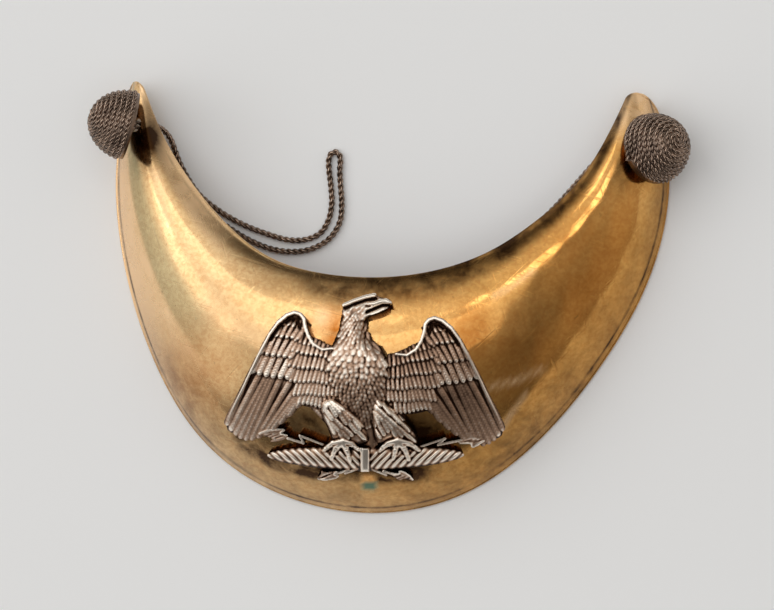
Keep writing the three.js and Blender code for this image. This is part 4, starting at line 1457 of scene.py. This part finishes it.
thighs = [
    {"outline": [(-10.9, -3.0), (-9.6, -1.5), (-7.2, -1.2), (-3.6, -3.2), (-0.6, -6.4), (1.4, -9.4),
                 (2.1, -12.4), (-1.4, -13.8), (-5.0, -13.4), (-7.8, -12.2), (-8.6, -9.6), (-9.6, -7.4)],
     "tuft": (-8.6, -3.6), "angle": 40},
    {"outline": [(3.2, -1.0), (5.2, -1.7), (8.3, -4.3), (11.8, -7.3), (14.6, -11.6), (14.2, -13.4),
                 (11.0, -13.2), (8.6, -12.4), (5.6, -13.2), (3.4, -12.8), (3.0, -9.0), (2.2, -5.4)],
     "tuft": (4.6, -4.6), "angle": 38},
]


def thigh(form):
    ground, inside = slab(smoothOutline(form["outline"], 2), 3.5, 2.6)
    tx, ty = form["tuft"]

    def shineAt(tip):
        return 0.3 * math.exp(-((tip[0] - tx) ** 2 + (tip[1] - ty) ** 2) / 16) - 0.02

    clothe(ground, inside, form["angle"], (1.3, 3.2), 8.2, 1.4, shineAt)


def ropeHalf(start, end, middleY, endY, slant):
    ends = sorted((start, end))
    part = near(ends, (middleY - 3, middleY + 3), 1.0)
    share = np.clip((eagleX[part] - start) / (end - start), 0, 1)
    centre = middleY + (endY - middleY) * share
    radius = 2.9 * np.clip(1 - share ** 2.3, 0, 1) ** 0.55 + 0.02
    y = eagleY[part] - centre
    inside = (np.abs(y) < radius) & (eagleX[part] > ends[0]) & (eagleX[part] < ends[1])
    bulge = np.sqrt(np.clip(1 - (y / radius) ** 2, 0, 1))
    lean = slant * (0.75 * y + 0.45 * np.sin(y * 0.9))
    wave = 0.5 + 0.5 * np.cos(2 * np.pi * (eagleX[part] + lean) / 2.02)
    # the rope is painted lighter on its upper side and darker on its lower: a painted highlight and shade
    raiseTo(part, 0.55 + radius * 0.7 * bulge + 0.75 * wave ** 0.8 * (0.3 + 0.7 * bulge), inside,
            0.08 + 0.05 * y)


def claw(ankle, toes):
    for toe in toes:
        line = [ankle, *toe]
        ridge(line, (2.0, 1.0), (4.7, 3.9), 0.9, 0.04)
        for share in (0.4, 0.75):
            x = line[0][0] + (line[2][0] - line[0][0]) * share
            y = line[0][1] + (line[2][1] - line[0][1]) * share
            groove([(x - 0.7, y), (x + 0.7, y)], 0.4, 0.45)


claws = [
    {"ankle": (-5.0, -12.6),
     "toes": [[(-7.6, -13.0), (-9.8, -14.6)], [(-6.9, -14.4), (-7.9, -16.8)], [(-4.0, -14.6), (-3.1, -17.2)],
              [(-2.6, -13.1), (-0.9, -14.6)]]},
    {"ankle": (9.2, -12.4),
     "toes": [[(6.6, -13.0), (4.5, -14.8)], [(8.6, -14.4), (8.0, -16.8)], [(11.0, -14.4), (12.0, -17.0)],
              [(12.2, -13.0), (14.6, -14.6)]]},
]


darts = [
    # the leaf of the head as an outline, then the jagged shaft behind it
    {"head": [(-27.0, -10.6), (-24.6, -9.6), (-19.4, -9.2), (-21.6, -10.4), (-18.6, -11.0), (-20.4, -12.2),
              (-24.2, -12.7), (-22.6, -11.6)],
     "shaft": [(-19.2, -11.6), (-15.0, -12.9), (-16.1, -10.9), (-9.4, -13.5)]},
    {"head": [(31.7, -11.9), (29.8, -13.0), (28.2, -14.0), (28.0, -12.6), (24.6, -12.9), (25.8, -11.6),
              (24.4, -10.4), (29.3, -9.3), (28.0, -10.8)],
     "shaft": [(25.6, -12.0), (19.4, -13.3), (21.4, -11.6), (13.6, -14.2)]},
    {"head": [(-12.0, -21.8), (-9.4, -22.3), (-5.6, -21.4), (-7.6, -20.9), (-6.2, -19.9), (-9.6, -20.4),
              (-10.6, -19.6), (-10.4, -20.8)],
     "shaft": [(-6.8, -20.8), (-3.4, -19.6), (-4.4, -20.6), (-0.6, -19.2)]},
    {"head": [(13.6, -22.7), (11.6, -20.6), (9.4, -19.8), (9.8, -20.9), (6.8, -20.4), (8.4, -21.6),
              (9.6, -22.4), (11.0, -21.7)],
     "shaft": [(8.4, -20.9), (5.4, -20.0), (6.2, -21.0), (2.2, -19.4)]},
]


def sculptEagle():
    wing(-1, (0, 0), 0.0)
    # the right wing gets a painted shade, being the side away from the light
    wing(1, (1.3, -1.4), 0.1)
    for dart in darts:
        # the darts' ridges are painted brighter: a painted highlight against the shade they lie in
        ridge(dart["shaft"], (0.62, 0.55), (1.9, 2.0), 0.35, 0.14)
        outline = [tuple(p) for p in smoothOutline(dart["head"], 1)]
        slab(outline, 1.75, 0.5, -0.04)
        upper = outline[:len(outline) // 2]
        ridge(upper, (0.45, 0.45), (2.0, 2.0), 0.3, 0.12)
        (ax, ay), (bx, by) = outline[0], outline[len(outline) // 2]
        for share in (0.3, 0.5, 0.7):
            x, y = ax + (bx - ax) * share, ay + (by - ay) * share
            groove([(x - 0.9, y - 0.5), (x + 0.9, y + 0.1)], 0.35, 0.35)
    # the tail, a bundle of long narrow feathers between the thighs
    tailGround = np.full(eagleX.shape, 1.1)
    for i, x in enumerate(np.linspace(-0.6, 4.6, 6)):
        feather(tailGround, (x * 0.62 + 1.0, -14.2 + 0.3 * abs(i - 2.5)), (x - 2) * 4, 12, 1.2, lift=0.3,
                barbs=0.05, shine=-0.05)
    ground, inside = trunkHeights()
    relief[inside] = np.maximum(relief[inside], ground[inside] + 0.1)
    trunkFeathers(ground)
    for form in thighs:
        thigh(form)
    ropeHalf(0.9, -24.4, -17.1, -15.9, 1)
    ropeHalf(0.9, 26.2, -17.1, -15.7, -1)
    slab([(-0.4, -20.1), (1.8, -20.1), (1.9, -14.1), (-0.5, -14.1)], 4.2, 0.5, 0.3)
    groove([(-0.1, -14.4), (-0.1, -20.0)], 0.4, 0.3)
    for foot in claws:
        claw(foot["ankle"], foot["toes"])
    sculptHead()


headOutline = [
    (-5.3, 19.2), (-5.0, 22.4), (-1.0, 24.1), (2.8, 25.2), (4.2, 24.5), (5.2, 24.1), (6.8, 24.0),
    (7.9, 23.0), (7.6, 22.2), (6.6, 21.4), (4.6, 20.6), (2.8, 20.0), (1.0, 19.0), (0.6, 18.0),
    (-2.4, 18.4),
]
cheekFeathers = [(-3.6, 20.4), (-2.2, 20.0), (-0.9, 20.6), (-2.9, 21.4), (-1.4, 21.6), (0.0, 21.6),
                 (0.2, 20.2)]


def sculptHead():
    slab(smoothOutline(headOutline, 1), 2.9, 0.9, -0.05)
    ridge([(2.6, 22.6), (4.6, 23.3), (6.3, 23.5), (7.4, 22.8)], (1.3, 0.8), (3.5, 3.1), 0.7, 0.26)
    ridge([(2.0, 20.1), (4.4, 20.8), (6.6, 21.8)], (1.0, 0.6), (3.0, 2.7), 0.5, 0.1)
    groove([(1.2, 20.5), (3.4, 21.4), (5.4, 22.2), (7.2, 22.2)], 0.7, 1.6)
    ridge([(-4.7, 22.3), (-2.2, 23.3), (0.8, 24.3), (3.2, 24.8)], (1.0, 1.1), (3.5, 3.7), 0.6, 0.36)
    groove([(-4.4, 21.4), (-1.4, 22.7), (1.4, 23.6), (3.6, 23.9)], 0.7, 1.0)
    ridge([(1.75, 22.6), (1.95, 22.65)], (0.8, 0.8), (3.3, 3.3), 0.4, 0.3)
    groove([(0.9, 22.1), (1.8, 21.9), (2.6, 22.2)], 0.4, 0.5)
    for x, y in cheekFeathers:
        ridge([(x, y), (x + 0.7, y + 0.55)], (0.6, 0.4), (3.15, 3.05), 0.3, 0.05)


# softens heights a little, without spreading past the casting's edge
def softened(heights, inside, rounds):
    weight = inside.astype(float)
    total = np.where(inside, heights, 0)
    for turn in range(rounds):
        for axis in (0, 1):
            total = 0.25 * np.roll(total, 1, axis) + 0.5 * total + 0.25 * np.roll(total, -1, axis)
            weight = 0.25 * np.roll(weight, 1, axis) + 0.5 * weight + 0.25 * np.roll(weight, -1, axis)
    return total / np.maximum(weight, 1e-6), weight


# takes out cells that meet another at a corner alone
def withoutPinches(solid):
    for turn in range(6):
        a, b, c, d = solid[:-1, :-1], solid[1:, :-1], solid[:-1, 1:], solid[1:, 1:]
        falling = a & d & ~b & ~c
        rising = b & c & ~a & ~d
        solid[:-1, :-1] &= ~falling
        solid[1:, :-1] &= ~rising
    return solid


# the triangles on the inner side of the directed walls, so that the casting's openings stay open
def fillWithin(triangles, walls, barrier):
    owner = {(f[k], f[(k + 1) % 3]): n for n, f in enumerate(triangles) for k in range(3)}
    within = {owner[pair] for pair in walls if pair in owner}
    queue = list(within)
    while queue:
        f = triangles[queue.pop()]
        for k in range(3):
            a, b = f[k], f[(k + 1) % 3]
            other = owner.get((b, a))
            if frozenset((a, b)) not in barrier and other is not None and other not in within:
                within.add(other)
                queue.append(other)
    return sorted(within)


def castEagle():
    inside = relief > 0.05
    count = (inside[:-1, :-1].astype(int) + inside[1:, :-1] + inside[:-1, 1:] + inside[1:, 1:])
    cells = np.argwhere(withoutPinches(count == 4))
    heights, _ = softened(relief, inside, 1)
    wide, _ = softened(relief, inside, 10)
    _, cover = softened(relief, inside, 2)
    slopeX, slopeY = np.gradient(cover, badgeSizes["grid"])
    steep = slopeX ** 2 + slopeY ** 2 + 1e-9
    toEdge = np.clip((cover - 0.5) / steep, -0.3, 0.3) * (cover < 0.93)
    most = 0.45 * badgeSizes["grid"]
    x = eagleX - np.clip(slopeX * toEdge, -most, most)
    y = eagleY - np.clip(slopeY * toEdge, -most, most)
    flat = np.full(relief.size, -1)
    corner = cells[:, 0] * len(gridY) + cells[:, 1]
    quads = np.stack([corner, corner + len(gridY), corner + len(gridY) + 1, corner + 1], 1)
    used = np.unique(quads)
    flat[used] = np.arange(len(used))
    quads = flat[quads]
    top = np.stack([x.ravel()[used], y.ravel()[used], heights.ravel()[used]], 1)
    cavity = (heights - wide).ravel()[used]
    wearAndLight = softened(wearAndLightMap, inside, 1)[0].ravel()[used]
    # the outline, as directed edges that only one cell has
    directed = np.concatenate([quads[:, [k, (k + 1) % 4]] for k in range(4)])
    codes = directed[:, 0] * len(used) + directed[:, 1]
    backwards = directed[:, 1] * len(used) + directed[:, 0]
    edge = directed[~np.isin(codes, backwards)]
    rimVertices = np.unique(edge)
    rimIndex = np.full(len(used), -1)
    rimIndex[rimVertices] = np.arange(len(rimVertices))
    # the back: the same outline with a coarse net between, so that it can follow the plate
    net = [(a, b) for a in np.arange(eagleArea["left"], eagleArea["right"], badgeSizes["backGrid"])
           for b in np.arange(eagleArea["bottom"], eagleArea["top"], badgeSizes["backGrid"])]
    cells = (np.array(net) - (eagleArea["left"], eagleArea["bottom"])) / badgeSizes["grid"]
    i = np.clip(cells[:, 0].astype(int), 4, len(gridX) - 5)
    j = np.clip(cells[:, 1].astype(int), 4, len(gridY) - 5)
    deep = softened(relief, inside, 3)[1][i, j] > 0.999
    backPoints = [Vector(p) for p in top[rimVertices, :2]]
    backPoints += [Vector(p) for p, keep in zip(net, deep) if keep]
    backEdges = [(int(rimIndex[a]), int(rimIndex[b])) for a, b in edge]
    points2, edges2, faces2, origVerts, origEdges, _ = delaunay_2d_cdt(backPoints, backEdges, [], 1, 1e-6)
    barrier = {frozenset(pair) for pair, sources in zip(edges2, origEdges) if sources}
    back = np.array([(p.x, p.y, 0.0) for p in points2])
    backOf = {old: new for new, olds in enumerate(origVerts) for old in olds}
    walls = [(backOf[int(rimIndex[a])], backOf[int(rimIndex[b])]) for a, b in edge]
    points = np.concatenate([top, back])
    first = len(top)
    faces = [tuple(int(v) for v in q) for q in quads]
    faces += [tuple(first + v for v in faces2[n])[::-1] for n in fillWithin(faces2, walls, barrier)]
    for (a, b), (c, d) in zip(edge, walls):
        faces.append((int(b), int(a), first + c, first + d))
    return points, faces, cavity, wearAndLight, first


# lays the casting on the plate: each point goes where the picture shows it, its gap measured square
# to the plate and its relief towards the viewer
def layOnPlate(points):
    camera = np.array(scene.camera.matrix_world)
    scale = cameraView["pixels"] * cameraView["distance"]
    eye = camera[:3, 3] / mm
    lift = plateSizes["sheetThickness"] / 2 + badgeSizes["gap"]
    across = (cameraView["badge"][0] + points[:, 0] * cameraView["badge"][2]) / scale
    upwards = (cameraView["badge"][1] + points[:, 1] * cameraView["badge"][2]) / scale
    ray = camera[:3, 0] * across[:, None] + camera[:3, 1] * upwards[:, None] - camera[:3, 2]
    axis = unit(np.array(badgeSizes["axis"]))
    net = np.arange(-48, 46, 1.0)
    rows = np.arange(-56, 8, 1.0)
    netX, netY = np.meshgrid(net, rows, indexing="ij")
    netU, netS = findOnSheet(netX, netY)
    netZ = sheetPoint(netU, netS)[..., 2]
    z = np.full(len(points), 30.0)
    for turn in range(8):
        here = eye + ray * ((z - eye[2]) / ray[:, 2])[:, None] - axis * points[:, 2:3]
        fx = np.clip(here[:, 0] - net[0], 0, len(net) - 1.01)
        fy = np.clip(here[:, 1] - rows[0], 0, len(rows) - 1.01)
        i, j = fx.astype(int), fy.astype(int)
        a, b = fx - i, fy - j
        below = ((netZ[i, j] * (1 - a) + netZ[i + 1, j] * a) * (1 - b)
                 + (netZ[i, j + 1] * (1 - a) + netZ[i + 1, j + 1] * a) * b)
        z = below + lift + points[:, 2] * axis[2]
    u, s = findOnSheet(here[:, 0], here[:, 1])
    return sheetPoint(u, s) + sheetNormal(u, s) * lift + axis * points[:, 2:3]


def makeEagle():
    sculptEagle()
    points, faces, cavity, wearAndLight, topCount = castEagle()
    eagle = meshObject("silver_eagle", layOnPlate(points) * mm, faces)
    mesh = eagle.data
    # the silver's brightness: dark oxide in the hollows, a little lighter higher up, with the painted
    # highlights and shade of wearAndLight
    given = silverLooks["shade"]
    shade = np.full(len(mesh.vertices), given["back"])
    high = points[:topCount, 2] - 2
    shade[:topCount] = np.clip(given["flat"] + cavity * given["cavity"] + given["height"] * high + wearAndLight, 0, 1)
    storeValues(mesh, "relief", "FLOAT", "value", shade)
    pins = [drill(point - outwards * badgeSizes["studDrop"], outwards, badgeSizes["studRadius"],
                  badgeSizes["studReach"]) for point, outwards in studSeats()]
    eagle = joinObjects("silver_eagle", [eagle, *pins])
    shadeSmooth(eagle.data)
    eagle.data.set_sharp_from_angle(angle=math.radians(badgeSizes["sharpAngle"]))
    finishPiece(eagle, oxidisedSilver, "eagle_badge")
    print("eagle faces", len(eagle.data.polygons))


makeEagle()
print("eagle cast")
